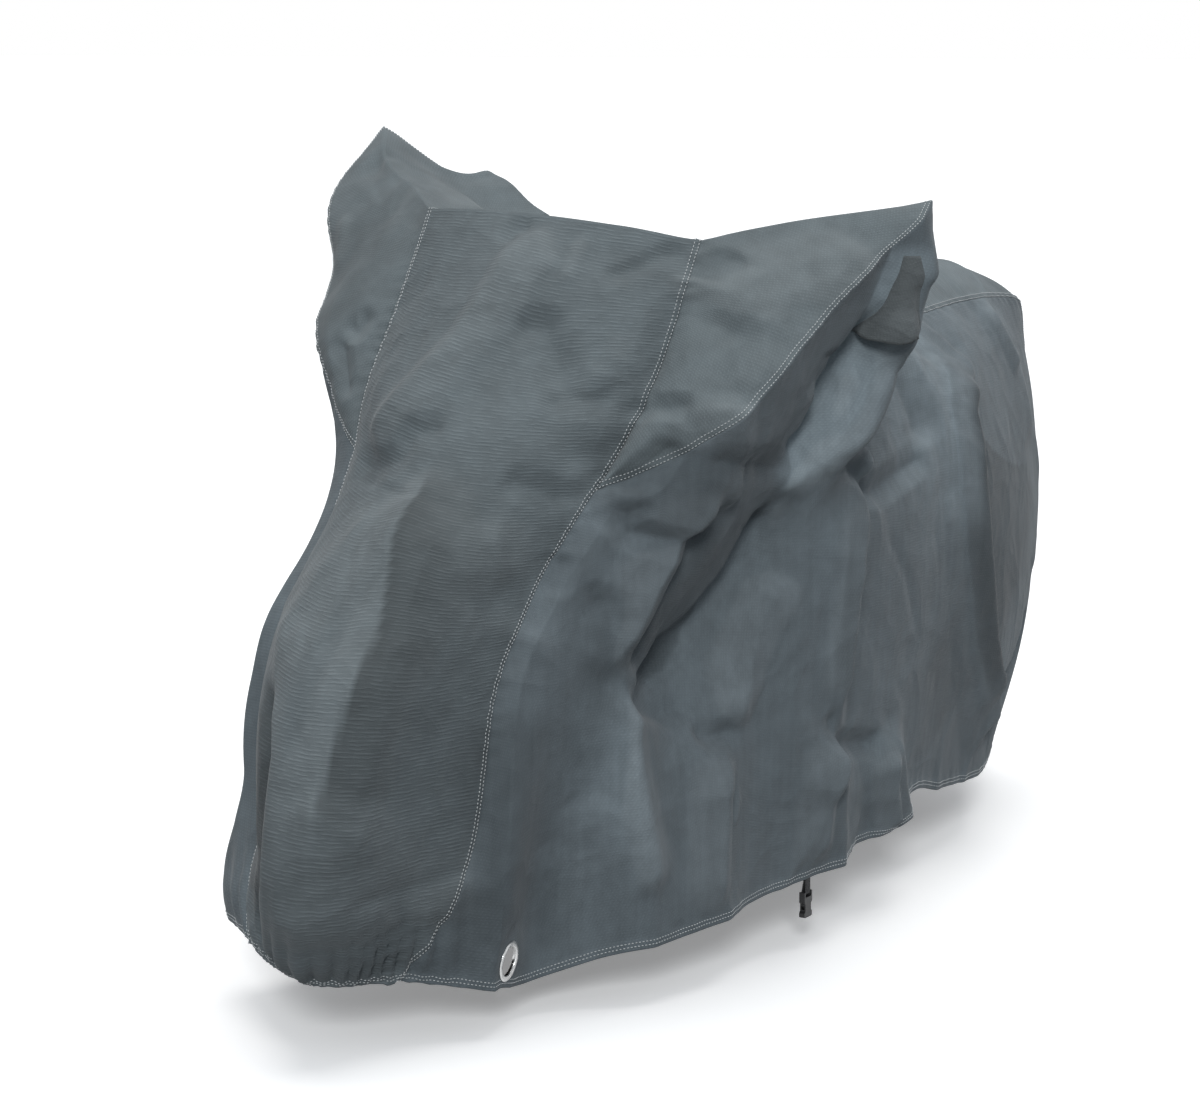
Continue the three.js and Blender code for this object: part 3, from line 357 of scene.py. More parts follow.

# Creases that lie over the main folds, and the softer ones as small folds
CREASES = (
    Crease("screen_line", F, 7, 60, 26,
           ((10, 1057), (13, 987), (28, 910), (60, 855), (87, 819), (132, 757))),
    Crease("screen_zigzag", F, -9, 26, 30,
           ((-30, 936), (-68, 937), (-112, 876), (-140, 857), (-186, 854)), 20),
    Crease("screen_branch", F, -6, 22, 22, ((-113, 872), (-132, 825), (-162, 776), (-173, 764)), 25),
    Crease("brow_pleat", F, -6, 16, 16, ((35, 1028), (39, 1050), (13, 1060)), 12),
    Crease("brow_fold", F, 5, 24, 16, ((10, 1057), (-20, 1030), (-44, 993)), 22),
    Crease("brow_fold_short", F, 4, 20, 14, ((-62, 1061), (-70, 982)), 25),
    Crease("screen_thread", F, -5, 14, 18, ((-110, 1003), (-147, 1021), (-169, 1041), (-195, 1034)), 20),
    Crease("nose_crease", F, -6, 20, 22, ((-98, 754), (-113, 751), (-142, 738), (-171, 717)), 18),
    Crease("nose_bend", F, -7, 22, 26, ((150, 735), (93, 740), (47, 763), (40, 796), (-12, 808)), 25),
    Fold("packing_crease", F, -2.2, 9, 9, ((130, 722), (20, 722), (-90, 712)), 40, 1.5),
    Crease("front_plane", F, 9, 80, 60, ((32, 728), (43, 652), (77, 578), (105, 490)), 60, 3),
    Crease("nose_line", F, 12, 70, 60,
           ((-20, 767), (-26, 720), (-49, 636), (-72, 558), (-71, 471), (-65, 391), (-56, 323), (-48, 255),
            (-33, 155)), 60, 3),
    Crease("lobe_valley", F, -22, 40, 40, LOBE, 50),
    Crease("lobe_edge", F, 7, 60, 18,
           ((90, 470), (52, 440), (28, 400), (18, 330), (18, 260), (42, 190), (82, 130)), 50),
    Fold("wheel_arc", F, 10, 40, 60,
         ((-20, 360), (-61, 352), (-88, 330), (-106, 289), (-119, 237), (-122, 170)), 40, 5),
    Fold("seam_pucker_low", F, -5, 16, 18, ((-85, 236), (-118, 246), (-140, 262)), 18, 2),
    Crease("corner_line", F, 7, 40, 60, ((-112, 720), (-116, 660), (-120, 600)), 50, facing=(-0.2, 0.2)),
    Crease("gusset_knot", L, -7, 18, 20, ((-385, 1050), (-395, 1036), (-447, 1004)), 20, facing=(0.0, 0.2)),
    Crease("gusset_ridge", L, 9, 44, 44,
           ((-464, 969), (-409, 1006), (-359, 1026), (-240, 1060)), 50, 3, facing=(0.15, 0.35)),
    Crease("gusset_valley", L, -9, 30, 16,
           ((-440, 975), (-447, 957), (-465, 928), (-487, 898), (-500, 850)), 30, facing=(0.0, 0.2)),
    Crease("gusset_cross", F, -7, 16, 20, ((-190, 858), (-204, 846), (-231, 851), (-282, 859)), 20),
    Crease("under_gusset", L, -9, 18, 22, ((-590, 740), (-567, 757), (-557, 783), (-539, 812)), 20),
    Crease("under_gusset_long", L, -9, 26, 30, ((-530, 790), (-445, 774), (-340, 752), (-268, 740))),
    Crease("drop_line", L, 9, 60, 30, ((-498, 880), (-490, 833), (-440, 758), (-425, 700)), 30),
    Crease("drop_line_rear", L, 8, 40, 24, ((-310, 880), (-290, 837), (-285, 780)), 30),
    Crease("neck_crease", L, -10, 26, 22, ((-600, 722), (-578, 684), (-500, 668), (-439, 657)), 30),
    Fold("neck_crease_short", L, -5, 14, 14, ((-600, 722), (-580, 712), (-558, 725)), 15, 2),
    Crease("wedge_line", L, -9, 30, 44,
           ((-272, 700), (-290, 650), (-322, 580), (-370, 523), (-452, 474), (-552, 452))),
    Crease("lip_line", L, 13, 70, 40, LIP),
    Crease("lip_hollow", L, -15, 36, 60,
           ((-440, 735), (-468, 680), (-484, 640), (-510, 585), (-538, 530), (-560, 485)), 40, 3, 1.2),
    Crease("strip_line", L, -8, 30, 30,
           ((-228, 985), (-216, 940), (-212, 903), (-250, 838), (-266, 785), (-276, 730))),
    Crease("strip_edge", L, 9, 30, 40,
           ((-168, 985), (-172, 952), (-152, 893), (-189, 832), (-218, 788), (-256, 745), (-282, 704))),
    Crease("drape_wrinkle_a", L, 6, 16, 18, ((-190, 930), (-215, 860), (-240, 800)), 45),
    Crease("drape_wrinkle_b", L, -5, 14, 14, ((-170, 905), (-200, 840), (-240, 770)), 45),
    Crease("drape_crumple", L, -12, 26, 30,
           ((-212, 776), (-123, 729), (-80, 694), (14, 677), (110, 690), (218, 706))),
    Crease("drape_crumple_up", L, 9, 22, 22, ((-185, 785), (-96, 747), (-80, 705)), 25),
    Crease("tank_valley", L, -16, 140, 60, ((190, 870), (206, 784), (220, 711)), 40, 3),
    Crease("tank_line", L, 9, 60, 22, ((-118, 700), (-140, 615), (-149, 473), (-146, 390)), 50),
    Crease("belly_ridge", L, 12, 50, 26, ((-250, 600), (-257, 577), (-286, 519), (-320, 442), (-348, 378))),
    Fold("belly_wrinkle", L, 6, 18, 18, ((-268, 700), (-253, 635)), 25, 2),
    Crease("knee_line", L, -11, 22, 26, ((-575, 462), (-520, 440), (-453, 416), (-392, 423)), 25),
    Crease("knee_line_low", L, -10, 22, 22, ((-420, 397), (-399, 382), (-357, 379), (-340, 388)), 22),
    Crease("fork_valley", L, -11, 60, 28,
           ((-612, 621), (-597, 567), (-596, 513), (-599, 405), (-600, 349), (-606, 290))),
    Crease("fork_line", L, 9, 34, 40,
           ((-568, 480), (-572, 407), (-568, 364), (-551, 307), (-534, 250), (-519, 178))),
    Fold("shoulder_tuck", L, -6, 16, 16, ((-643, 661), (-656, 624), (-669, 599)), 18, 2),
    Fold("shoulder_tuck_low", L, -6, 16, 16, ((-624, 625), (-606, 579)), 18, 2),
    Crease("pleat_line_front", L, 13, 70, 24, ((-377, 366), (-397, 296), (-402, 190), (-402, 125)), 60),
    Crease("pleat_line_middle", L, 14, 70, 24, ((-149, 370), (-160, 254), (-154, 190), (-150, 140)), 60),
    Crease("pleat_line_rear", L, 12, 60, 18, ((42, 290), (55, 225), (80, 180), (95, 150)), 30),
    Crease("belly_crease", L, -11, 24, 24, ((-180, 392), (-150, 348), (-129, 328), (40, 292)), 30),
    Fold("hem_tuck", L, -5, 14, 14, ((-632, 325), (-600, 284)), 14, 2),
    Fold("hem_tuck_low", L, 4, 14, 14, ((-347, 305), (-367, 245)), 20, 2),
    Crease("seat_line", L, 10, 60, 18,
           ((410, 810), (365, 756), (371, 649), (393, 537), (448, 390), (532, 265))),
    Crease("tail_line", L, 8, 26, 36, ((700, 886), (739, 814), (781, 767)), 30),
    Fold("seat_dip", L, -7, 28, 30, ((290, 852), (380, 842), (463, 846), (529, 832)), 40, 3),
    Crease("rear_pocket", L, -16, 40, 30, ((812, 363), (790, 306), (700, 262), (600, 230))),
    Crease("right_neck_crease", R, -7, 26, 24, ((-560, 690), (-500, 660), (-420, 640)), 30),
    Crease("right_belly_ridge", R, 12, 50, 26, ((-240, 600), (-270, 500), (-330, 390))),
    Crease("right_knee_line", R, -5, 26, 30, ((-560, 430), (-480, 415), (-390, 425)), 25),
    Crease("right_drape_line", R, 12, 50, 26, ((-190, 900), (-180, 780), (-220, 690)), 50),
    Crease("right_tank_valley", R, -14, 120, 60, ((210, 850), (180, 760), (190, 690)), 40, 3),
    Crease("right_tank_line", R, 10, 60, 24, ((-40, 700), (-46, 560), (-30, 400)), 50),
    Crease("right_seat_line", R, 10, 56, 20, ((390, 780), (400, 620), (430, 450), (470, 330))),
    Crease("right_belly_crease", R, -6, 30, 34, ((-170, 380), (-90, 340), (60, 300)), 30),
    Crease("right_pleat_line", R, 11, 56, 18, ((-20, 340), (-10, 220), (0, 110))),
    Crease("right_front_line", R, 10, 56, 18, ((-305, 400), (-318, 250), (-328, 120))),
    Fold("right_ear_soft", F, 6, 26, 26, ((380, 1040), (361, 994), (338, 942)), 35, 3),
    Crease("right_ear_pleat", F, -9, 18, 20, ((270, 900), (240, 892), (231, 924)), 18),
    Crease("right_ear_valley", F, -9, 22, 22, ((254, 888), (258, 868), (236, 824), (216, 800)), 25),
    Crease("right_ear_hollow", F, -10, 24, 26,
           ((412, 1102), (350, 1092), (294, 1067)), 25, 3, 1.2, facing=(-0.2, 0.1)),
    Crease("right_ear_strip", F, 8, 20, 20,
           ((375, 1112), (340, 1088), (294, 1062)), 25, facing=(-0.2, 0.1)),
)

# Painted light and shade: places where the cloth's colour is made paler to stand in for light, and darker
# below zero to stand in for shade
PAINTED_LIGHT_STROKES = (
    Stroke("bloom_strip", L, 1.2, 4, 70,
           ((-225, 1075), (-228, 970), (-214, 905), (-250, 838), (-266, 780), (-284, 705)), 30, 1, 0.7),
    Stroke("bloom_strip_edge", L, 0.5, 60, 4,
           ((-190, 1060), (-186, 956), (-175, 901), (-204, 837), (-228, 796), (-257, 751), (-280, 705)),
           30, 1, 0.7),
    Stroke("bloom_plane", L, 0.07, 4, 120, WEDGE, 40, 1, 0.7),
    Stroke("fresh_wedge", L, -0.4, 135, 4, WEDGE, 50, 1, 0.6),
    Stroke("fresh_lip", L, -0.4, 4, 130, LIP, 50, 1, 0.6),
    Stroke("bloom_fork", L, 0.6, 44, 16,
           ((-566, 490), (-574, 440), (-580, 409), (-576, 368), (-560, 310), (-540, 252), (-514, 176)),
           110, 3, 0.9),
    Stroke("fresh_fork", L, -0.2, 50, 6,
           ((-616, 621), (-601, 566), (-590, 512), (-599, 406), (-598, 348)), 40, 1, 0.8),
    Stroke("bloom_tank", L, 0.07, 70, 4, TANK, 50, 1, 0.7),
    Stroke("fresh_tank", L, -0.14, 4, 110, TANK, 50, 1, 0.7),
    Stroke("bloom_rear", L, 0.7, 230, 20, SEAT[:5], 110, 4, 0.8),
    Stroke("fresh_seat", L, -0.55, 24, 400, SEAT, 90, 4, 0.35),
    Stroke("fresh_rear", L, -0.35, 120, 120, ((240, 440), (300, 330), (340, 240)), 50, 40),
    Stroke("bloom_triangle", L, 0.38, 90, 60, ((60, 850), (140, 790), (190, 740)), 40, 20),
    Stroke("fresh_neck", L, -0.3, 60, 60,
           ((-615, 735), (-565, 740), (-470, 765), (-360, 770), (-300, 780)), 40, 25),
    Stroke("fresh_nose", F, -0.55, 90, 4,
           ((-8, 768), (-26, 724), (-50, 643), (-70, 564), (-66, 476), (-62, 396), (-58, 330)), 60, 1, 1.0),
    Stroke("fresh_corner", L, -0.3, 60, 110,
           ((-740, 480), (-745, 400), (-748, 334), (-752, 237), (-754, 120)), 60, 20, 1.0, (-0.2, 0.2)),
    Stroke("fresh_corner_low", F, -0.34, 60, 60, ((-122, 240), (-132, 160), (-126, 100)), 30, 25),
    Stroke("fresh_wheel", F, -0.14, 4, 150,
           ((-40, 372), (-77, 362), (-105, 340), (-114, 293), (-124, 240)), 30, 1, 0.6),
    Stroke("fresh_low", F, -0.2, 90, 90, ((50, 420), (40, 330), (50, 240), (70, 120)), 80, 40),
    Stroke("fresh_lobe", F, -0.55, 4, 130, LOBE, 40, 1, 0.6, (-0.3, 0.0)),
    Stroke("fresh_ear", F, -0.26, 70, 90, ((370, 1050), (330, 970), (270, 880)), 40, 40, 1.3, (-0.2, 0.1)),
    Stroke("bloom_tail", Face.TOP, 0.28, 130, 130, ((420, -60), (650, -60), (860, -50)), 90, 40),
    Stroke("bloom_screen", F, 0.1, 60, 60, ((-140, 990), (-165, 930), (-170, 880)), 40, 30),
)


@dataclass(frozen=True)
class Scatter:
    """Small creases strewn over one face of the cover."""

    face: Face
    count: int
    seed: int
    lengths: Span = (60.0, 240.0)
    heights: Span = (0.8, 2.8)
    widths: Span = (12.0, 44.0)
    lean: float = 0.5
    bend: float = 0.05
    facing: float = 0.5
    fade_share: float = 0.7
    crest: float = 1.5

    def strew(self, points: Array, normals: Array) -> list[Fold]:
        """Places the creases on cloth that looks the face's way.

        Args:
            points: places on the cloth.
            normals: the cloth's normals there.

        Returns:
            The creases.
        """
        draw = np.random.default_rng(self.seed)
        out, (first, second) = self.face.value
        homes = points[normals @ np.array(out, float) > self.facing]
        creases = []
        for k in range(self.count):
            home = homes[draw.integers(len(homes))]
            angle = -math.pi / 2 + draw.normal() * self.lean
            half = draw.uniform(*self.lengths) / 2
            way = np.array([math.cos(angle), math.sin(angle)])
            across = np.array([-way[1], way[0]]) * half * draw.normal() * self.bend * 2
            middle = np.array([home[first], home[second]])
            ends = [middle - way * half, middle + across, middle + way * half]
            ends.sort(key=lambda end: -end[1])
            height = draw.uniform(*self.heights) * (1 if draw.random() < 0.5 else -1)
            low, high = draw.uniform(*self.widths, size=2)
            path = tuple((float(p[0]), float(p[1])) for p in ends)
            fade = half * self.fade_share
            creases.append(Crease(f"strewn_{k}", self.face, height, low, high, path, fade, self.crest))
        return creases


SCATTERS = (
    Scatter(Face.LEFT, 90, 11),
    Scatter(Face.RIGHT, 90, 12),
    Scatter(Face.FRONT, 44, 13, heights=(0.5, 1.8)),
    Scatter(Face.REAR, 20, 14),
    Scatter(Face.TOP, 34, 15, lean=1.5),
)


@dataclass
class Panel:
    """A sewn panel as a grid of points, rows by columns, in millimetres."""

    name: str
    points: Array
    flip: bool
    normals: Array = field(init=False)
    # wear of fold crests, and painted light and shade, for each point
    wear: Array = field(init=False)

    @property
    def listed(self) -> Array:
        """The grid's points as one list."""
        return self.points.reshape(-1, 3)

    def faces(self) -> Array:
        """Quads of the grid, as four places in that list, wound to look outwards."""
        rows, columns = self.points.shape[:2]
        at = np.arange(rows * columns).reshape(rows, columns)
        a, b, c, d = at[:-1, :-1], at[1:, :-1], at[1:, 1:], at[:-1, 1:]
        corners = (a, b, c, d) if self.flip else (a, d, c, b)
        return np.stack([corner.ravel() for corner in corners], -1)

    def own_normals(self) -> Array:
        """Outward normals of this panel alone."""
        down, across = np.gradient(self.points, axis=0), np.gradient(self.points, axis=1)
        return unit(np.cross(down, across) if self.flip else np.cross(across, down))

    def from_first_row(self) -> Array:
        """Length from the first row, along each column."""
        return walked(self.points, 0)

    def from_last_row(self) -> Array:
        """Length from the last row, along each column."""
        return walked(self.points[::-1], 0)[::-1]

    def from_first_column(self) -> Array:
        """Length from the first column, along each row."""
        return walked(self.points, 1)

    def from_last_column(self) -> Array:
        """Length from the last column, along each row."""
        return walked(self.points[:, ::-1], 1)[:, ::-1]

    def masks(self) -> dict[str, Array]:
        """Masks of the grid's points, by name: the wear of fold crests, and the painted light and shade."""
        return {"crease": self.wear[..., 0].ravel(), "bloom": self.wear[..., 1].ravel()}

    def seam_row(self, distance: Array, target: float, axis: int, lift: float, room: float = 1.5) -> Array:
        """A line on the cloth at an even distance from one border.

        Args:
            distance: length of each grid point from that border.
            target: the line's distance from it.
            axis: grid axis that runs away from the border.
            lift: how far the line stands off the cloth.
            room: how many times the target a line of the grid has to reach to carry a point.

        Returns:
            The line's points.
        """
        places = self.points + self.normals * lift
        if axis == 0:
            places, distance = places.swapaxes(0, 1), distance.T
        line = []
        for row, far in zip(places, distance):
            order = np.argsort(far)
            if far[order[-1]] < target * room:
                continue
            line.append([np.interp(target, far[order], row[order, k]) for k in range(3)])
        return np.array(line)


@dataclass
class Drape:
    """The whole drape: the panels' grids, folded and creased as they hang."""

    pitch: float = 5.2
    row_slack: float = 1.12
    level_slack: float = 1.08
    line_gap: float = 0.02
    half_width: float = 150.0
    centre_slack: float = 2.2
    gusset_width: float = 150.0
    gusset_slack: float = 1.4
    lean_deg: float = 4.8
    crown: Triple = (59.14, -59.39, 981.50)
    steer_deg: float = 6.5
    steer_pivot: float = -440.0
    steer_heights: Span = (600.0, 900.0)
    steer_lengths: Span = (-250.0, 300.0)
    firm: float = 1.35
    full_crease: float = 6.0
    seam_lines: tuple[float, ...] = (1.2, 3.0, 5.5, 8.0, 10.5, 14.0)
    seam_ridge: float = 1.1
    seam_rise: Span = (0.6, 2.4)
    seam_fall: Span = (9.0, 11.2)
    seam_groove: float = 0.9
    groove_reach: float = 1.6
    seam_walk: Triple = (0.83, 0.47, 0.91)
    pucker: float = 0.9
    pucker_step: float = 4.1
    pucker_sway: Span = (1.3, 23.0)
    pucker_swell: float = 57.0
    pucker_reach: float = 15.0
    hem_lines: tuple[float, ...] = (1.5, 4.0, 8.0, 12.0, 16.0, 18.5, 21.0)
    hem_band: float = 13.5
    hem_step: float = 0.8
    hem_fall: float = 2.5
    hem_walk: Triple = (0.9, 0.8, 0.2)
    hem_pucker: float = 0.7
    hem_pucker_step: float = 5.3
    hem_pucker_sway: Span = (1.7, 31.0)
    hem_pucker_reach: float = 13.0
    front_end: Span = (-840.0, -740.0)
    rear_end: Span = (800.0, 880.0)
    end_walk: Span = (0.7, 1.25)
    gather: float = 6.5
    gather_reach: float = 34.0
    gather_wave: float = 58.0
    gather_sway: Span = (1.9, 41.0)
    long_gather: float = 0.5
    long_wave: float = 2.3
    long_start: float = 0.9
    ruche: float = 0.8
    ruche_wave: float = 8.5
    ruche_sway: Span = (2.0, 19.0)
    ruche_fall: Span = (10.0, 26.0)
    draw_in: float = 15.0
    draw_in_reach: float = 70.0
    panels: dict[str, Panel] = field(default_factory=dict)
    shared: Array = field(init=False)

    def rows_and_levels(self) -> tuple[Array, Array]:
        """Parameters of the side panels' grid lines, closer beside the seams and the hem.

        Returns:
            Row parameters and level parameters.
        """
        table = np.array(SIDE_ROWS, float)
        row_lengths = np.linalg.norm(np.diff(table, axis=0), axis=-1).mean(1) * self.row_slack
        level_lengths = np.linalg.norm(np.diff(table, axis=1), axis=-1).mean(0) * self.level_slack

        def spread(lengths: Array, start: Sequence[float], end: Sequence[float]) -> Array:
            """Even lines in each interval, with the given lines beside both ends."""
            values = [0.0]
            for k, length in enumerate(lengths):
                count = math.ceil(length / self.pitch)
                values += [k + (n + 1) / count for n in range(count)]
            near = [d / lengths[0] for d in start]
            far = [len(lengths) - d / lengths[-1] for d in end]
            inner = [v for v in values[1:-1] if near[-1] + self.line_gap < v < far[-1] - self.line_gap]
            return np.array([values[0], *near, *inner, *far[::-1], values[-1]])

        rows = spread(row_lengths, self.seam_lines, self.seam_lines)
        return rows, spread(level_lengths, self.hem_lines, self.seam_lines)

    @staticmethod
    def side_points(rows: Array, levels: Array) -> Array:
        """Half surface of a side panel at the given parameters."""
        table = np.array(SIDE_ROWS, float)
        sections = along(table.swapaxes(0, 1), levels)
        return along(sections.swapaxes(0, 1), rows, (CORNER_ROW, EAR_ROW))

    @staticmethod
    def screen_seam(rows: Array) -> Array:
        """Half seam line between the centre panel and a gusset."""
        first, last = SIDE_ROWS[0][TOP_LEVEL], SIDE_ROWS[TANK_ROW][TOP_LEVEL]
        table = np.array([first, *(seam for seam, _ in SCREEN_ROWS), last], float)
        return along(table, rows, (EAR_ROW,))

    def gusset_points(self, rows: Array, shares: Array) -> Array:
        """Half surface of an ear gusset.

        Args:
            rows: row parameters, from the front seam to the tank.
            shares: 0 at the centre seam, 1 at the side panel.

        Returns:
            Points, rows by shares.
        """
        inner = self.screen_seam(rows)[:, None]
        outer = self.side_points(rows, np.array([float(TOP_LEVEL)]))
        step = 0.1
        ahead = self.screen_seam(np.minimum(rows + step, TANK_ROW))
        behind = self.screen_seam(np.maximum(rows - step, 0.0))
        across = outer - inner
        out = unit(np.cross(across, (ahead - behind)[:, None]))
        swells = np.array([[0.0], *([float(swell)] for _, swell in SCREEN_ROWS), [0.0]])
        swell = along(swells, rows)[:, None] * (4 * shares * (1 - shares))[None, :, None]
        return inner + across * shares[None, :, None] - out * swell

    def centre_points(self, rows: Array, levels: Array, shares: Array) -> Array:
        """Sections of the centre panel from seam to seam, from the front hem to the rear hem.

        Args:
            rows: row parameters of the side panels.
            levels: level parameters of the side panels.
            shares: -1 at the left seam to 1 at the right seam.

        Returns:
            Points, stations by shares.
        """
        top = np.array([float(TOP_LEVEL)])
        screen = rows[(rows > 0) & (rows <= TANK_ROW)]
        seat = rows[rows > TANK_ROW]
        seam = np.concatenate([
            self.side_points(np.array([0.0]), levels)[0],
            self.screen_seam(screen),
            self.side_points(seat, top)[:, 0],
            self.side_points(np.array([float(LAST_ROW)]), levels[::-1][1:])[0],
        ])
        end = TOP_LEVEL + LAST_ROW
        stations = np.concatenate([
            levels, TOP_LEVEL + screen, TOP_LEVEL + seat, end + TOP_LEVEL - levels[::-1][1:],
        ])
        middle_table = np.array([(x, 0.0, z) for x, z in MIDDLE_ROWS], float)
        middle = along(middle_table, stations, (SCREEN_EDGE_STATION,))
        rise = (1.0 - np.abs(shares) ** CROWN_POWER)[None, :]
        return np.stack([
            seam[:, :1] + (middle - seam)[:, :1] * rise,
            seam[:, 1:2] * shares[None, :],
            seam[:, 2:] + (middle - seam)[:, 2:] * rise,
        ], axis=-1)

    def cut(self) -> None:
        """Lays out the grids of all the panels, upright and without folds."""
        rows, levels = self.rows_and_levels()
        screen = rows[rows <= TANK_ROW]
        edge = np.array([d / self.half_width for d in self.seam_lines])
        count = math.ceil(self.centre_slack * self.half_width / self.pitch / 2)
        inner = np.linspace(-1.0, 1.0, 2 * count + 1)
        inner = inner[np.abs(inner) < 1 - edge[-1] - self.line_gap]
        shares = np.concatenate([[-1.0], edge - 1.0, inner, 1.0 - edge[::-1], [1.0]])
        centre = self.centre_points(rows, levels, shares)
        self.panels["centre_panel"] = Panel("centre_panel", centre, True)
        edge = np.array([d / self.gusset_width for d in self.seam_lines])
        inner = np.linspace(0.0, 1.0, math.ceil(self.gusset_slack * self.gusset_width / self.pitch) + 1)
        inner = inner[(inner > edge[-1] + self.line_gap) & (inner < 1 - edge[-1] - self.line_gap)]
        across = np.concatenate([[0.0], edge, inner, 1.0 - edge[::-1], [1.0]])[::-1]
        for side in Side:
            mirror = np.array([1.0, side.value, 1.0])
            flip = side is Side.LEFT
            panel = self.side_points(rows, levels) * mirror
            gusset = self.gusset_points(screen, across) * mirror
            self.panels[f"side_panel_{side.word}"] = Panel(f"side_panel_{side.word}", panel, flip)
            self.panels[f"ear_gusset_{side.word}"] = Panel(f"ear_gusset_{side.word}", gusset, flip)

    def steer(self, points: Array) -> Array:
        """Turns the upper front with the bars."""
        high = smooth(points[..., 2], *self.steer_heights)
        ahead = 1 - smooth(points[..., 0], *self.steer_lengths)
        angle = math.radians(self.steer_deg) * (high * ahead)
        dx = points[..., 0] - self.steer_pivot
        turned = points.copy()
        turned[..., 0] = self.steer_pivot + dx * np.cos(angle) - points[..., 1] * np.sin(angle)
        turned[..., 1] = dx * np.sin(angle) + points[..., 1] * np.cos(angle)
        return turned

    @staticmethod
    def pull(points: Array) -> Array:
        """Moves points by each pull that reaches them."""
        moved = points.copy()
        for at, reach, move in PULLS:
            far = np.linalg.norm((points - np.array(at, float)) / np.array(reach, float), axis=-1)
            moved += np.array(move, float) * (np.clip(1 - far**2, 0.0, 1.0) ** 2)[..., None]
        return moved

    def weld(self) -> None:
        """Finds the points that panels share along their seams."""
        every = np.concatenate([panel.listed for panel in self.panels.values()])
        _, self.shared = np.unique(np.round(every, 2), axis=0, return_inverse=True)
        self.shared = self.shared.ravel()

    def share_normals(self) -> None:
        """Gives each panel normals that its neighbours share along the seams."""
        self.share(np.concatenate([panel.own_normals().reshape(-1, 3) for panel in self.panels.values()]))

    def share(self, own: Array) -> None:
        """Averages the panels' normals where their points meet, and keeps them in the panels."""
        total = np.zeros((self.shared.max() + 1, 3))
        np.add.at(total, self.shared, own)
        normals = unit(total)[self.shared]
        start = 0
        for panel in self.panels.values():
            count = panel.points.shape[0] * panel.points.shape[1]
            panel.normals = normals[start:start + count].reshape(panel.points.shape)
            start += count

    def ease_normals(self, passes: int = 14) -> None:
        """Evens out the normals, so that a crease moves the cloth on both sides of a seam the same way."""
        for _ in range(passes):
            eased = []
            for panel in self.panels.values():
                wide = np.pad(panel.normals, ((1, 1), (1, 1), (0, 0)), mode="edge")
                total = 2 * panel.normals + wide[:-2, 1:-1] + wide[2:, 1:-1]
                total = total + wide[1:-1, :-2] + wide[1:-1, 2:]
                eased.append(unit(total).reshape(-1, 3))
            self.share(np.concatenate(eased))

    def even_move(self, panel: Panel, move: Array) -> Array:
        """Spreads the moves beside each seam evenly, so that the close lines there don't pass one another.

        Args:
            panel: the panel.
            move: how far each of its points is to move.

        Returns:
            The evened moves.
        """
        move, count = move.copy(), len(self.seam_lines) + 1

        def spread(points: Array, lines: Array) -> None:
            """Evens the moves of a grid's first lines, from its border to the line past them."""
            far = walked(points, 0)[:count + 1, :, None]
            share = far / np.maximum(far[count:], SAME_POINT)
            lines[:count] = lines[:1] + (lines[count:count + 1] - lines[:1]) * share[:count]

        forth, back = slice(None), slice(None, None, -1)
        on_side = panel.name.startswith("side_panel")
        for order in (forth, back) if on_side else ():
            spread(panel.points[order], move[order])
        for order in (back,) if on_side else (forth, back):
            spread(panel.points[1:-1, order].swapaxes(0, 1), move[1:-1, order].swapaxes(0, 1))
        return move

    def fold(self, folds: Sequence[Fold], firm: float = 1.0, tell: bool = False) -> None:
        """Lifts all the panels by a set of folds.

        Args:
            folds: the folds or creases.
            firm: how many times their height they are made.
            tell: whether the lift, as the wear of fold crests, and the painted light and shade are kept as
                the panels' masks.
        """
        for panel in self.panels.values():
            points, normals = panel.listed, panel.normals.reshape(-1, 3)
            lift = firm * sum(fold.lift(points, normals) for fold in folds)
            move = (normals * lift[:, None]).reshape(panel.points.shape)
            panel.points = panel.points + self.even_move(panel, move)
            if tell:
                # Painted light and shade: the strokes make the colour paler to stand in for light, and darker
                # to stand in for shade
                bloom = sum(stroke.paint(points, normals) for stroke in PAINTED_LIGHT_STROKES)
                wear = np.clip(np.stack([lift / self.full_crease, bloom], -1), -1.0, 1.0)
                panel.wear = wear.reshape(panel.points.shape[:2] + (2,))

    def gathers(self, points: Array, hem: Array) -> Array:
        """Lift of the elastic hems at the two ends: drawn in at the edge, gathered above it.

        Args:
            points: places on the cloth.
            hem: their distance from the hem.

        Returns:
            One height for each point.
        """
        x, y = points[..., 0], points[..., 1]
        ends = (1 - smooth(x, *self.front_end)) + smooth(x, *self.rear_end)
        walk = y * self.end_walk[1] + np.abs(x) * self.end_walk[0]
        wave = swaying(2 * np.pi * walk / self.gather_wave, walk, *self.gather_sway)
        long_wave = np.sin(2 * np.pi * walk / (self.gather_wave * self.long_wave) + self.long_start)
        wave = np.abs(wave) * 1.6 - 0.8 + self.long_gather * long_wave
        rise = hem / self.gather_reach * np.exp(1 - hem / self.gather_reach)
        ruche = self.ruche * swaying(2 * np.pi * walk / self.ruche_wave, walk, *self.ruche_sway)
        drawn = -self.draw_in * (1 - smooth(hem, 0.0, self.draw_in_reach))
        return ends * (self.gather * wave * rise + ruche * (1 - smooth(hem, *self.ruche_fall)) + drawn)

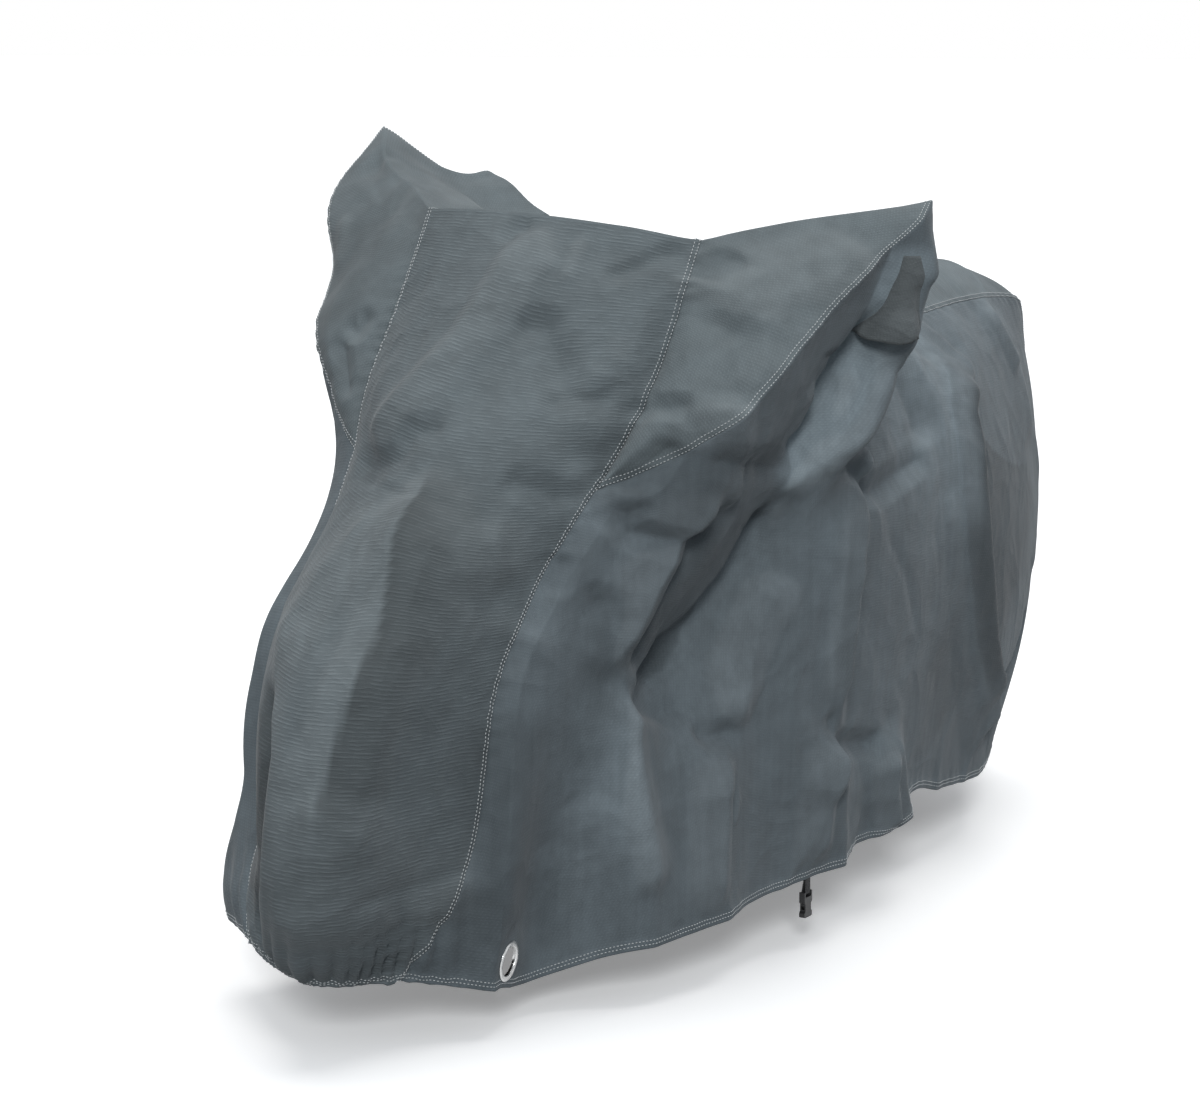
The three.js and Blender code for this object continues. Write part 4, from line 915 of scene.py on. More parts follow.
    def sewing(self, points: Array, seam: Array, upper: bool) -> Array:
        """Lift beside a seam: a groove at the join, a felled band on the upper panel, and puckers.

        Args:
            points: places on the cloth.
            seam: their distance from the seam.
            upper: whether this panel carries the band.

        Returns:
            One height for each point.
        """
        lift = -self.seam_groove * np.exp(-((seam / self.groove_reach) ** 2))
        if upper:
            lift += self.seam_ridge * (smooth(seam, *self.seam_rise) - smooth(seam, *self.seam_fall))
        walk = points @ np.array(self.seam_walk)
        wave = swaying(walk / self.pucker_step, walk, *self.pucker_sway)
        wave = wave * (0.6 + 0.4 * np.sin(walk / self.pucker_swell))
        return lift + self.pucker * wave * np.exp(-((seam / self.pucker_reach) ** 2))

    def hemming(self, points: Array, hem: Array) -> Array:
        """Lift of a turned hem: a thicker band with a few puckers along its stitching."""
        band = self.hem_step * (1 - smooth(hem, self.hem_band, self.hem_band + self.hem_fall))
        walk = points @ np.array(self.hem_walk)
        wave = swaying(walk / self.hem_pucker_step, walk, *self.hem_pucker_sway)
        return band + self.hem_pucker * wave * np.exp(-(((hem - self.hem_band) / self.hem_pucker_reach) ** 2))

    def finish_edges(self) -> None:
        """Adds the seams, hems and gathers, which lie along the panels' borders."""
        for name, panel in self.panels.items():
            ends = np.minimum(panel.from_first_row(), panel.from_last_row())
            first, last = panel.from_first_column(), panel.from_last_column()
            seam, hem = np.minimum(first, last), None
            if name == "centre_panel":
                hem = ends
            elif name.startswith("side_panel"):
                seam, hem = np.minimum(ends, last), first
            lift = self.sewing(panel.points, seam, name == "centre_panel")
            if hem is not None:
                lift += self.hemming(panel.points, hem) + self.gathers(panel.points, hem)
            panel.points = panel.points + panel.normals * lift[..., None]

    def hang(self) -> None:
        """Cuts, turns, pulls, folds and creases all the panels."""
        self.cut()
        for panel in self.panels.values():
            panel.points = self.pull(self.steer(panel.points))
        self.weld()
        self.share_normals()
        self.ease_normals()
        self.fold(FOLDS)
        self.share_normals()
        every = self.panels.values()
        points = np.concatenate([panel.listed for panel in every])
        normals = np.concatenate([panel.normals.reshape(-1, 3) for panel in every])
        strewn = [crease for scatter in SCATTERS for crease in scatter.strew(points, normals)]
        self.ease_normals()
        self.fold([*CREASES, *strewn], self.firm, tell=True)
        self.share_normals()
        self.finish_edges()
        self.share_normals()

    def leaned(self, points: Array, way: int) -> Array:
        """Points leant to the left, or stood upright again where the way is -1."""
        lean = math.radians(self.lean_deg) * way
        x, y, z = points[..., 0], points[..., 1], points[..., 2]
        out = y * math.cos(lean) - z * math.sin(lean)
        return np.stack([x, out, y * math.sin(lean) + z * math.cos(lean)], -1)

    def placed(self, points: Array) -> Array:
        """Points brought from the upright shape, in millimetres, to the row frame, in metres."""
        return (self.leaned(points, 1) - np.array(self.crown)) * MM

    def upright(self, points: Array) -> Array:
        """Points brought back from the row frame to the upright shape."""
        return self.leaned(np.asarray(points, float) / MM + np.array(self.crown), -1)

    def turned_back(self, way: Array) -> Array:
        """A direction brought back from the row frame to the upright shape."""
        return self.upright(np.asarray(way, float) * MM) - self.upright(np.zeros(3))


def link(obj: Piece) -> Piece:
    """Adds an object to the scene and gives it back."""
    bpy.context.scene.collection.objects.link(obj)
    return obj


def mesh_piece(name: str, points: Array, faces: Array, uv: Array | None = None,
               masks: dict[str, Array] | None = None) -> Piece:
    """A smooth mesh object from arrays.

    Args:
        name: the piece's name.
        points: vertices in metres, in the row frame.
        faces: corners of each quad or triangle.
        uv: a place on the flat cloth for each vertex.
        masks: float attributes for the vertices, by name.

    Returns:
        The linked object, with unused vertices and collapsed faces taken out.
    """
    used, corners = np.unique(faces, return_inverse=True)
    corners = corners.reshape(faces.shape)
    mesh = bpy.data.meshes.new(name)
    mesh.from_pydata(points[used].tolist(), [], corners.tolist())
    if uv is not None:
        layer = mesh.uv_layers.new(name="cloth")
        loops = np.empty(len(mesh.loops), np.int64)
        mesh.loops.foreach_get("vertex_index", loops)
        layer.data.foreach_set("uv", uv[used][loops].astype(np.float32).ravel())
    for word, values in (masks or {}).items():
        layer = mesh.attributes.new(word, "FLOAT", "POINT")
        layer.data.foreach_set("value", values[used].astype(np.float32).ravel())
    build = bmesh.new()
    build.from_mesh(mesh)
    bmesh.ops.dissolve_degenerate(build, dist=THIN_EDGE, edges=build.edges)
    bmesh.ops.remove_doubles(build, verts=build.verts, dist=SAME_POINT)
    for face in build.faces:
        face.smooth = True
    build.to_mesh(mesh)
    build.free()
    return link(bpy.data.objects.new(name, mesh))


def log_piece(piece: Piece) -> None:
    """Logs a finished piece and its number of faces."""
    LOG.info("%s: %d faces", piece.name, len(piece.data.polygons))


def face_outwards(piece: Piece) -> None:
    """Turns the faces of a closed piece to look outwards."""
    build = bmesh.new()
    build.from_mesh(piece.data)
    bmesh.ops.recalc_face_normals(build, faces=build.faces)
    build.to_mesh(piece.data)
    build.free()


class Nodes:
    """Short way to add and join nodes in one tree."""

    def __init__(self, tree: Tree) -> None:
        """Takes hold of a node tree."""
        self.tree = tree

    def add(self, kind: str, inputs: dict | None = None, **settings) -> bpy.types.Node:
        """Adds a node.

        Args:
            kind: the node's type.
            inputs: values or sockets for its inputs, by name or place.
            settings: the node's own settings.

        Returns:
            The node.
        """
        node = self.tree.nodes.new(kind)
        for word, value in settings.items():
            setattr(node, word, value)
        self.fill(node, inputs or {})
        return node

    def fill(self, node: bpy.types.Node, inputs: dict) -> None:
        """Gives a node's inputs their values, or joins sockets to them."""
        for word, value in inputs.items():
            if isinstance(value, Socket):
                self.tree.links.new(value, node.inputs[word])
            else:
                node.inputs[word].default_value = value

    def math(self, way: str, a, b=0.0, c=0.0) -> Socket:
        """Result of a sum on values or sockets."""
        return self.add("ShaderNodeMath", {0: a, 1: b, 2: c}, operation=way).outputs[0]

    def vector(self, way: str, a, b, output: int | str = 0) -> Socket:
        """Result of a sum on vectors."""
        return self.add("ShaderNodeVectorMath", {0: a, 1: b}, operation=way).outputs[output]

    def dimmed(self, colour, share) -> Socket:
        """A colour times a share."""
        grey = self.add("ShaderNodeCombineXYZ", {0: share, 1: share, 2: share}).outputs[0]
        return self.vector("MULTIPLY", colour, grey)

    def swing(self, value, size: float) -> Socket:
        """A noise's value as a swing to both sides of nothing."""
        return self.math("MULTIPLY", self.math("SUBTRACT", value, 0.5), size)

    def ramp(self, value, low: float, high: float, to_low: float = 0.0,
             to_high: float = 1.0) -> Socket:
        """A value carried smoothly from one range to another."""
        inputs = {"Value": value, "From Min": low, "From Max": high, "To Min": to_low, "To Max": to_high}
        return self.add("ShaderNodeMapRange", inputs, interpolation_type="SMOOTHSTEP").outputs["Result"]

    def mix(self, share, a, b) -> Socket:
        """A colour between two colours, which the node takes at places 6 and 7 and gives at place 2."""
        return self.add("ShaderNodeMix", {0: share, 6: a, 7: b}, data_type="RGBA").outputs[2]

    def noise(self, vector, scale: float, detail: float = 3.0, rough: float = 0.55) -> Socket:
        """Value of a noise at a place."""
        inputs = {"Vector": vector, "Scale": scale, "Detail": detail, "Roughness": rough}
        return self.add("ShaderNodeTexNoise", inputs).outputs[0]


def socket(group: Tree, name: str, kind: str, way: str, value: float | None = None) -> None:
    """Adds a named socket to a node group, as its "INPUT" or "OUTPUT"."""
    made = group.interface.new_socket(name, in_out=way, socket_type=kind)
    if value is not None:
        made.default_value = value


def new_material(name: str) -> tuple[bpy.types.Material, Nodes, bpy.types.Node]:
    """A new material, with the maker of its nodes and its shader."""
    material = bpy.data.materials.new(name)
    material.use_nodes = True
    return material, Nodes(material.node_tree), material.node_tree.nodes["Principled BSDF"]


@dataclass(frozen=True)
class RibbedWeb:
    """Ribbed non-woven cloth: mottling, pressed ribs or dimples, hanging streaks and fibre."""

    noise_range: Span = (0.3, 0.7)
    sway_scale: float = 18.0
    sway: float = 0.006
    dimple_stretch: float = 1.3
    dimple_range: Span = (-0.1, 0.7)
    rib_range: Span = (-0.55, 0.75)
    break_scale: Triple = (210.0, 44.0, 1.0)
    break_range: tuple[float, ...] = (0.38, 0.62, 0.1, 1.0)
    fibre_scale: float = 900.0
    cloud_scale: float = 22.0
    patch_scale: float = 5.0
    streak_scale: Triple = (95.0, 95.0, 6.0)
    cloud_shade: Span = (0.91, 1.09)
    patch_shade: Span = (-0.05, 0.05)
    fibre_shade: float = 0.22
    rib_middle: float = 0.4
    rib_shade: float = 0.2
    roughness: Span = (0.78, 0.9)
    rib_height: float = 0.55
    fibre_height: float = 0.3

    def make(self) -> Tree:
        """Builds the node group.

        Returns:
            A group that puts out a shade, a roughness and a height for the place on the flat cloth.
        """
        group = bpy.data.node_groups.new("ribbed_web", "ShaderNodeTree")
        starts = {"Turn": 0.0, "Rib Pitch": 0.004, "Rib Depth": 1.0, "Dimples": 0.0, "Streaks": 0.0}
        for word, value in starts.items():
            socket(group, word, "NodeSocketFloat", "INPUT", value)
        for word in ("Shade", "Roughness", "Height"):
            socket(group, word, "NodeSocketFloat", "OUTPUT")
        make = Nodes(group)
        start, end = make.add("NodeGroupInput"), make.add("NodeGroupOutput")
        given = start.outputs
        cloth = make.add("ShaderNodeUVMap", uv_map="cloth").outputs[0]
        turned = make.add("ShaderNodeVectorRotate", {"Vector": cloth, "Angle": given["Turn"]},
                          rotation_type="Z_AXIS").outputs[0]
        parts = make.add("ShaderNodeSeparateXYZ", {0: turned})
        sway = make.swing(make.noise(turned, self.sway_scale, 2.0), self.sway)
        walk = make.math("DIVIDE", make.math("ADD", parts.outputs[0], sway), given["Rib Pitch"])
        wave = make.math("SINE", make.math("MULTIPLY", walk, 2 * math.pi))
        dimple_pitch = make.math("MULTIPLY", given["Rib Pitch"], self.dimple_stretch)
        cross = make.math("DIVIDE", parts.outputs[1], dimple_pitch)
        dimple = make.math("MULTIPLY", wave, make.math("SINE", make.math("MULTIPLY", cross, 2 * math.pi)))
        stretched = make.add("ShaderNodeMapping", {"Vector": turned, "Scale": self.break_scale}).outputs[0]
        broken = make.ramp(make.noise(stretched, 1.0, 2.0), *self.break_range)
        rib = make.math("MULTIPLY", make.ramp(wave, *self.rib_range), broken)
        dimple = make.ramp(dimple, *self.dimple_range)
        rib = make.add("ShaderNodeMix", {0: given["Dimples"], 2: rib, 3: dimple}).outputs[0]
        rib = make.math("MULTIPLY", rib, given["Rib Depth"])
        place = make.add("ShaderNodeTexCoord").outputs["Object"]
        fibre = make.noise(place, self.fibre_scale, 2.0, 0.7)
        cloud = make.noise(place, self.cloud_scale, 5.0, 0.62)
        patch = make.noise(place, self.patch_scale, 2.0)
        hung = make.add("ShaderNodeMapping", {"Vector": place, "Scale": self.streak_scale}).outputs[0]
        streak = make.swing(make.noise(hung, 1.0, 3.0), given["Streaks"])
        shade = make.math("ADD", make.ramp(cloud, *self.noise_range, *self.cloud_shade),
                          make.ramp(patch, *self.noise_range, *self.patch_shade))
        shade = make.math("ADD", shade, streak)
        shade = make.math("ADD", shade, make.swing(fibre, self.fibre_shade))
        ribbed = make.math("MULTIPLY", make.math("SUBTRACT", rib, self.rib_middle), self.rib_shade)
        make.fill(end, {
            "Shade": make.math("ADD", shade, ribbed),
            "Roughness": make.ramp(cloud, *self.noise_range, *self.roughness),
            "Height": make.math("ADD", make.math("MULTIPLY", rib, self.rib_height),
                                make.math("MULTIPLY", fibre, self.fibre_height)),
        })
        return group


@dataclass(frozen=True)
class SlackWrinkles:
    """Small wrinkles of slack cloth."""

    bend_scale: float = 7.0
    bend: Triple = (0.16, 0.16, 0.16)
    close_scale: float = 2.7
    close_height: float = 0.3

    def make(self) -> Tree:
        """Builds the node group.

        Returns:
            A group that puts out a height for the place on the piece.
        """
        group = bpy.data.node_groups.new("slack_wrinkles", "ShaderNodeTree")
        socket(group, "Size", "NodeSocketFloat", "INPUT", 16.0)
        socket(group, "Height", "NodeSocketFloat", "OUTPUT")
        make = Nodes(group)
        start, end = make.add("NodeGroupInput"), make.add("NodeGroupOutput")
        place = make.add("ShaderNodeTexCoord").outputs["Object"]
        noise = {"Vector": place, "Scale": self.bend_scale, "Detail": 1.0}
        bent = make.vector("MULTIPLY", make.add("ShaderNodeTexNoise", noise).outputs[1], self.bend)
        bent = make.vector("ADD", place, bent)
        size = start.outputs["Size"]
        broad = make.add("ShaderNodeTexVoronoi", {"Vector": bent, "Scale": size}).outputs[0]
        close = make.math("MULTIPLY", size, self.close_scale)
        close = make.add("ShaderNodeTexVoronoi", {"Vector": bent, "Scale": close}).outputs[0]
        total = make.math("ADD", broad, make.math("MULTIPLY", close, self.close_height))
        make.fill(end, {"Height": total})
        return group


@dataclass(frozen=True)
class ClothFinish:
    """Slate non-woven cloth, with its ribs at one angle."""

    name: str
    turn_deg: float
    rib_depth: float
    colour: Colour = (0.128, 0.152, 0.161, 1.0)
    pale: Colour = (0.165, 0.19, 0.198, 1.0)
    lining: Colour = (0.045, 0.045, 0.043, 1.0)
    rib_pitch: float = 0.0052
    rib_bump: float = 0.0009
    # how strongly the painted light and shade mask makes the colour paler or darker
    bloom: float = 0.9
    dimples: float = 0.0
    streaks: float = 0.0
    wrinkle_bump: float = 0.006
    wrinkle_size: float = 9.0
    worn_range: tuple[float, ...] = (0.1, 1.0, 0.0, 0.55)
    sheen: float = 0.12
    sheen_roughness: float = 0.5
    specular: float = 0.25

    def make(self, web: Tree, wrinkles: Tree) -> bpy.types.Material:
        """Builds the material.

        Args:
            web: group of the ribbed cloth.
            wrinkles: group of the slack wrinkles.

        Returns:
            The material.
        """
        material, make, shader = new_material(self.name)
        cloth = make.add("ShaderNodeGroup", {
            "Turn": math.radians(self.turn_deg), "Rib Pitch": self.rib_pitch, "Rib Depth": self.rib_depth,
            "Dimples": self.dimples, "Streaks": self.streaks,
        }, node_tree=web)
        slack = make.add("ShaderNodeGroup", {"Size": self.wrinkle_size}, node_tree=wrinkles)
        crease = make.add("ShaderNodeAttribute", attribute_name="crease").outputs["Fac"]
        colour = make.mix(make.ramp(crease, *self.worn_range), self.colour, self.pale)
        # Painted light and shade: the mask makes the colour paler or darker to stand in for light and shade
        bloom = make.add("ShaderNodeAttribute", attribute_name="bloom").outputs["Fac"]
        painted_light_factor = make.math("MULTIPLY_ADD", bloom, self.bloom, 1.0)
        tint = make.dimmed(colour, make.math("MULTIPLY", cloth.outputs["Shade"], painted_light_factor))
        inside = make.add("ShaderNodeNewGeometry").outputs["Backfacing"]
        soft = make.add("ShaderNodeBump", {"Distance": self.wrinkle_bump, "Height": slack.outputs["Height"]})
        fine = make.add("ShaderNodeBump", {"Distance": self.rib_bump, "Height": cloth.outputs["Height"],
                                           "Normal": soft.outputs[0]})
        make.fill(shader, {
            "Base Color": make.mix(inside, tint, self.lining),
            "Roughness": cloth.outputs["Roughness"],
            "Normal": fine.outputs[0],
            "Sheen Weight": self.sheen,
            "Sheen Roughness": self.sheen_roughness,
            "Specular IOR Level": self.specular,
        })
        return material


@dataclass(frozen=True)
class PlainFinish:
    """Thread, steel, webbing or plastic: two close tones, a grain and a gloss."""

    name: str
    dark: Colour
    light: Colour
    scale: float
    roughness: Span
    metallic: float = 0.0
    bump: float = 0.0001
    weave: float = 0.0

    def make(self) -> bpy.types.Material:
        """Builds the material."""
        material, make, shader = new_material(self.name)
        place = make.add("ShaderNodeTexCoord").outputs["Object"]
        grain = make.noise(place, self.scale, 4.0, 0.6)
        height = grain
        if self.weave:
            cloth = make.add("ShaderNodeUVMap", uv_map="cloth").outputs[0]
            parts = make.add("ShaderNodeSeparateXYZ", {0: cloth})
            turn = 2 * math.pi / self.weave
            up, over = (make.math("SINE", make.math("MULTIPLY", parts.outputs[k], turn)) for k in (0, 1))
            height = make.math("ADD", make.math("MULTIPLY", make.math("MULTIPLY", up, over), 0.5), 0.5)
        bump = make.add("ShaderNodeBump", {"Distance": self.bump, "Height": height})
        make.fill(shader, {
            "Base Color": make.mix(make.ramp(height, 0.25, 0.75), self.dark, self.light),
            "Roughness": make.ramp(grain, 0.3, 0.7, *self.roughness),
            "Normal": bump.outputs[0],
            "Metallic": self.metallic,
        })
        return material


class Finishes:
    """Every material of the cover, built once."""

    def __init__(self) -> None:
        """Builds the shared groups and the materials."""
        web, wrinkles = RibbedWeb().make(), SlackWrinkles().make()
        # The centre panel's colours are made about 8 % darker as painted shade, and the side panels' are
        # tinted bluish as painted light from a cool fill.
        self.centre = ClothFinish(
            "slate_cloth_centre", 0.0, 1.0, (0.118, 0.14, 0.149, 1.0), (0.153, 0.176, 0.184, 1.0),
        ).make(web, wrinkles)
        self.side = ClothFinish(
            "slate_cloth_side", 55.0, 0.5, (0.126, 0.151, 0.165, 1.0), (0.163, 0.189, 0.203, 1.0),
            dimples=0.85, streaks=0.3,
        ).make(web, wrinkles)
        self.gusset = ClothFinish("slate_cloth_gusset", 35.0, 0.8, dimples=0.7).make(web, wrinkles)
        self.hood = ClothFinish(
            "slate_cloth_hood", 20.0, 0.5, (0.118, 0.132, 0.136, 1.0), dimples=0.8, wrinkle_bump=0.003,
            wrinkle_size=30.0,
        ).make(web, wrinkles)
        self.thread = PlainFinish(
            "grey_thread", (0.4, 0.42, 0.425, 1), (0.6, 0.62, 0.625, 1), 700.0, (0.6, 0.85),
        ).make()
        self.steel = PlainFinish(
            "rolled_steel", (0.5, 0.5, 0.5, 1), (0.78, 0.78, 0.77, 1), 90.0, (0.16, 0.34),
            metallic=1.0, bump=0.00008,
        ).make()
        self.webbing = PlainFinish(
            "black_webbing", (0.006, 0.006, 0.007, 1), (0.026, 0.026, 0.028, 1), 900.0, (0.6, 0.85),
            bump=0.0004, weave=0.0026,
        ).make()
        self.plastic = PlainFinish(
            "black_plastic", (0.009, 0.009, 0.01, 1), (0.02, 0.02, 0.021, 1), 1400.0, (0.36, 0.52),
            bump=0.00006,
        ).make()


@dataclass(frozen=True)
class Cut:
    """A cloth piece's flat size before it was sewn and hung, in metres and square metres."""

    width: float
    length: float
    area: float


@dataclass
class EyeletSeat:
    """Place of an eyelet on the upright shape, in millimetres."""

    centre: Array
    axis: Array

    @classmethod
    def of(cls, side: Side, drape: Drape, sink: float = 0.9) -> "EyeletSeat":
        """Reads a seat from the frame.

        Args:
            side: which eyelet.
            drape: the drape, for its frame.
            sink: how far the middle of the eyelet's length lies below the cloth's face.

        Returns:
            The seat.
        """
        mounts = {mount["name"]: mount for mount in frame["record"]["mounts"]}
        axis = np.array(mounts[f"eyelet_{side.word}_face"]["axis"], float)
        low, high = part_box(f"eyelet_{side.word}")
        middle = (np.array(low) + np.array(high)) / 2 + axis * sink * MM
        return cls(drape.upright(middle), unit(drape.turned_back(axis)))

    def measure(self, points: Array) -> tuple[Array, Array]:
        """Heights of points over the eyelet's plane, and their ways out from its middle in that plane."""
        away = points - self.centre
        lift = away @ self.axis
        return lift, away - lift[..., None] * self.axis

    def plane(self) -> tuple[Array, Array]:
        """Two directions in the eyelet's plane."""
        across = unit(np.cross(np.array([0.0, 0.0, 1.0]), self.axis))
        return across, np.cross(self.axis, across)


@dataclass
class Cloth:
    """The sewn cloth: every panel as a sheet with its turned hem, and the corners that hold the eyelets."""

    drape: Drape
    finishes: Finishes
    hem_layers: float = 1.8
    hem_lip: float = 0.7
    hem_rows: int = 7
    corner_rows: Span = (1.0, 1.6667)
    corner_level: float = 0.6667
    flat_radius: float = 31.0
    flat_reach: float = 62.0
    flat_depth: float = 60.0
    hole_radius: float = 21.8
    hole_depth: float = 20.0
    pieces: dict[str, Piece] = field(default_factory=dict)
    cuts: dict[str, Cut] = field(default_factory=lambda: {
        "centre_panel": Cut(0.52, 4.05, 1.18),
        "side_panel": Cut(2.30, 1.10, 1.62),
        "ear_gusset": Cut(1.20, 0.32, 0.155),
        "eyelet_corner": Cut(0.14, 0.15, 0.018),
    })

    def flatten(self, panel: Panel, seat: EyeletSeat) -> None:
        """Lays the cloth flat round an eyelet.

        Args:
            panel: the side panel.
            seat: the eyelet's seat.
        """
        lift, flat = seat.measure(panel.points)
        radius = np.linalg.norm(flat, axis=-1)
        share = (1 - smooth(radius, self.flat_radius, self.flat_reach)) * (np.abs(lift) < self.flat_depth)
        panel.points = panel.points - seat.axis * (lift * share)[..., None]

    def open_hole(self, points: Array, faces: Array, seat: EyeletSeat) -> tuple[Array, Array]:
        """Cuts the round hole of an eyelet.

        Args:
            points: the sheet's points, upright.
            faces: its quads.
            seat: the eyelet's seat.

        Returns:
            Points drawn on to the hole's edge, and the faces that are left.
        """
        lift, flat = seat.measure(points)
        radius = np.linalg.norm(flat, axis=-1)
        inside = (radius < self.hole_radius) & (np.abs(lift) < self.hole_depth)
        left = faces[~inside[faces].all(axis=1)]
        edge = seat.centre + unit(flat) * self.hole_radius + lift[:, None] * seat.axis
        return np.where(inside[:, None], edge, points), left

    def turned_hem(self, panel: Panel, at_start: bool, axis: int) -> Panel:
        """Adds a hem that is turned under along one border.

        Args:
            panel: the panel.
            at_start: whether the hem is on the grid's first line.
            axis: grid axis that runs away from the hem.

        Returns:
            A panel with the hem's lines added before its first line or after its last.
        """
        order = [panel.points, panel.normals, panel.wear]
        if axis == 1:
            order = [grid.swapaxes(0, 1) for grid in order]
        if not at_start:
            order = [grid[::-1] for grid in order]
        points, normals, wear = order
        under = points[:self.hem_rows] - normals[:self.hem_rows] * self.hem_layers
        lip = points[:1] - normals[:1] * self.hem_layers / 2 - unit(points[1:2] - points[:1]) * self.hem_lip
        points = np.concatenate([under[::-1], lip, points])
        normals = np.concatenate([normals[:self.hem_rows][::-1], normals[:1], normals])
        wear = np.concatenate([wear[:self.hem_rows][::-1] * 0, wear[:1] * 0, wear])
        order = [points, normals, wear]
        if not at_start:
            order = [grid[::-1] for grid in order]
        if axis == 1:
            order = [grid.swapaxes(0, 1) for grid in order]
        hemmed = Panel(panel.name, order[0], panel.flip)
        hemmed.normals, hemmed.wear = order[1], order[2]
        return hemmed

    @staticmethod
    def flat_places(panel: Panel) -> Array:
        """Places on the flat cloth, in metres: along the rows, and along the columns."""
        down = panel.from_first_row().mean(axis=1, keepdims=True)
        across = panel.from_first_column()
        middle = across[:, across.shape[1] // 2:across.shape[1] // 2 + 1]
        return np.stack([np.broadcast_to(down, across.shape), across - middle], -1).reshape(-1, 2) * MM

    def add(self, name: str, panel: Panel, faces: Array, points: Array, look: bpy.types.Material) -> None:
        """Makes one cloth piece.

        Args:
            name: the node that it stands for.
            panel: the grid that it comes from.
            faces: the quads that belong to it.
            points: the grid's points, upright.
            look: its material.
        """
        places = self.drape.placed(points)
        piece = mesh_piece(f"{name}_cloth", places, faces, self.flat_places(panel), panel.masks())
        piece.data.materials.append(look)
        self.pieces[name] = piece

    def build(self) -> None:
        """Builds all the panels and the two eyelet corners."""
        centre = self.turned_hem(self.drape.panels["centre_panel"], True, 0)
        centre = self.turned_hem(centre, False, 0)
        self.add("centre_panel", centre, centre.faces(), centre.listed, self.finishes.centre)
        rows, levels = self.drape.rows_and_levels()
        first, last = (int(np.argmin(np.abs(rows - row))) for row in self.corner_rows)
        top = int(np.argmin(np.abs(levels - self.corner_level))) + self.hem_rows + 1
        for side in Side:
            gusset = self.drape.panels[f"ear_gusset_{side.word}"]
            self.add(gusset.name, gusset, gusset.faces(), gusset.listed, self.finishes.gusset)
            panel = self.drape.panels[f"side_panel_{side.word}"]
            seat = EyeletSeat.of(side, self.drape)
            self.flatten(panel, seat)
            hemmed = self.turned_hem(panel, True, 1)
            faces = hemmed.faces()
            corner = np.zeros([count - 1 for count in hemmed.points.shape[:2]], bool)
            corner[first:last, :top] = True
            corner = corner.ravel()
            self.add(panel.name, hemmed, faces[~corner], hemmed.listed, self.finishes.side)
            points, cut = self.open_hole(hemmed.listed, faces[corner], seat)
            self.add(f"eyelet_corner_{side.word}", hemmed, cut, points, self.finishes.side)

    def declare(self) -> None:
        """Hangs each cloth piece under the root body, hides the part that it stands for, and logs it.
        """
        for name, piece in self.pieces.items():
            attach(piece, "root")
            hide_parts(name)
            log_piece(piece)


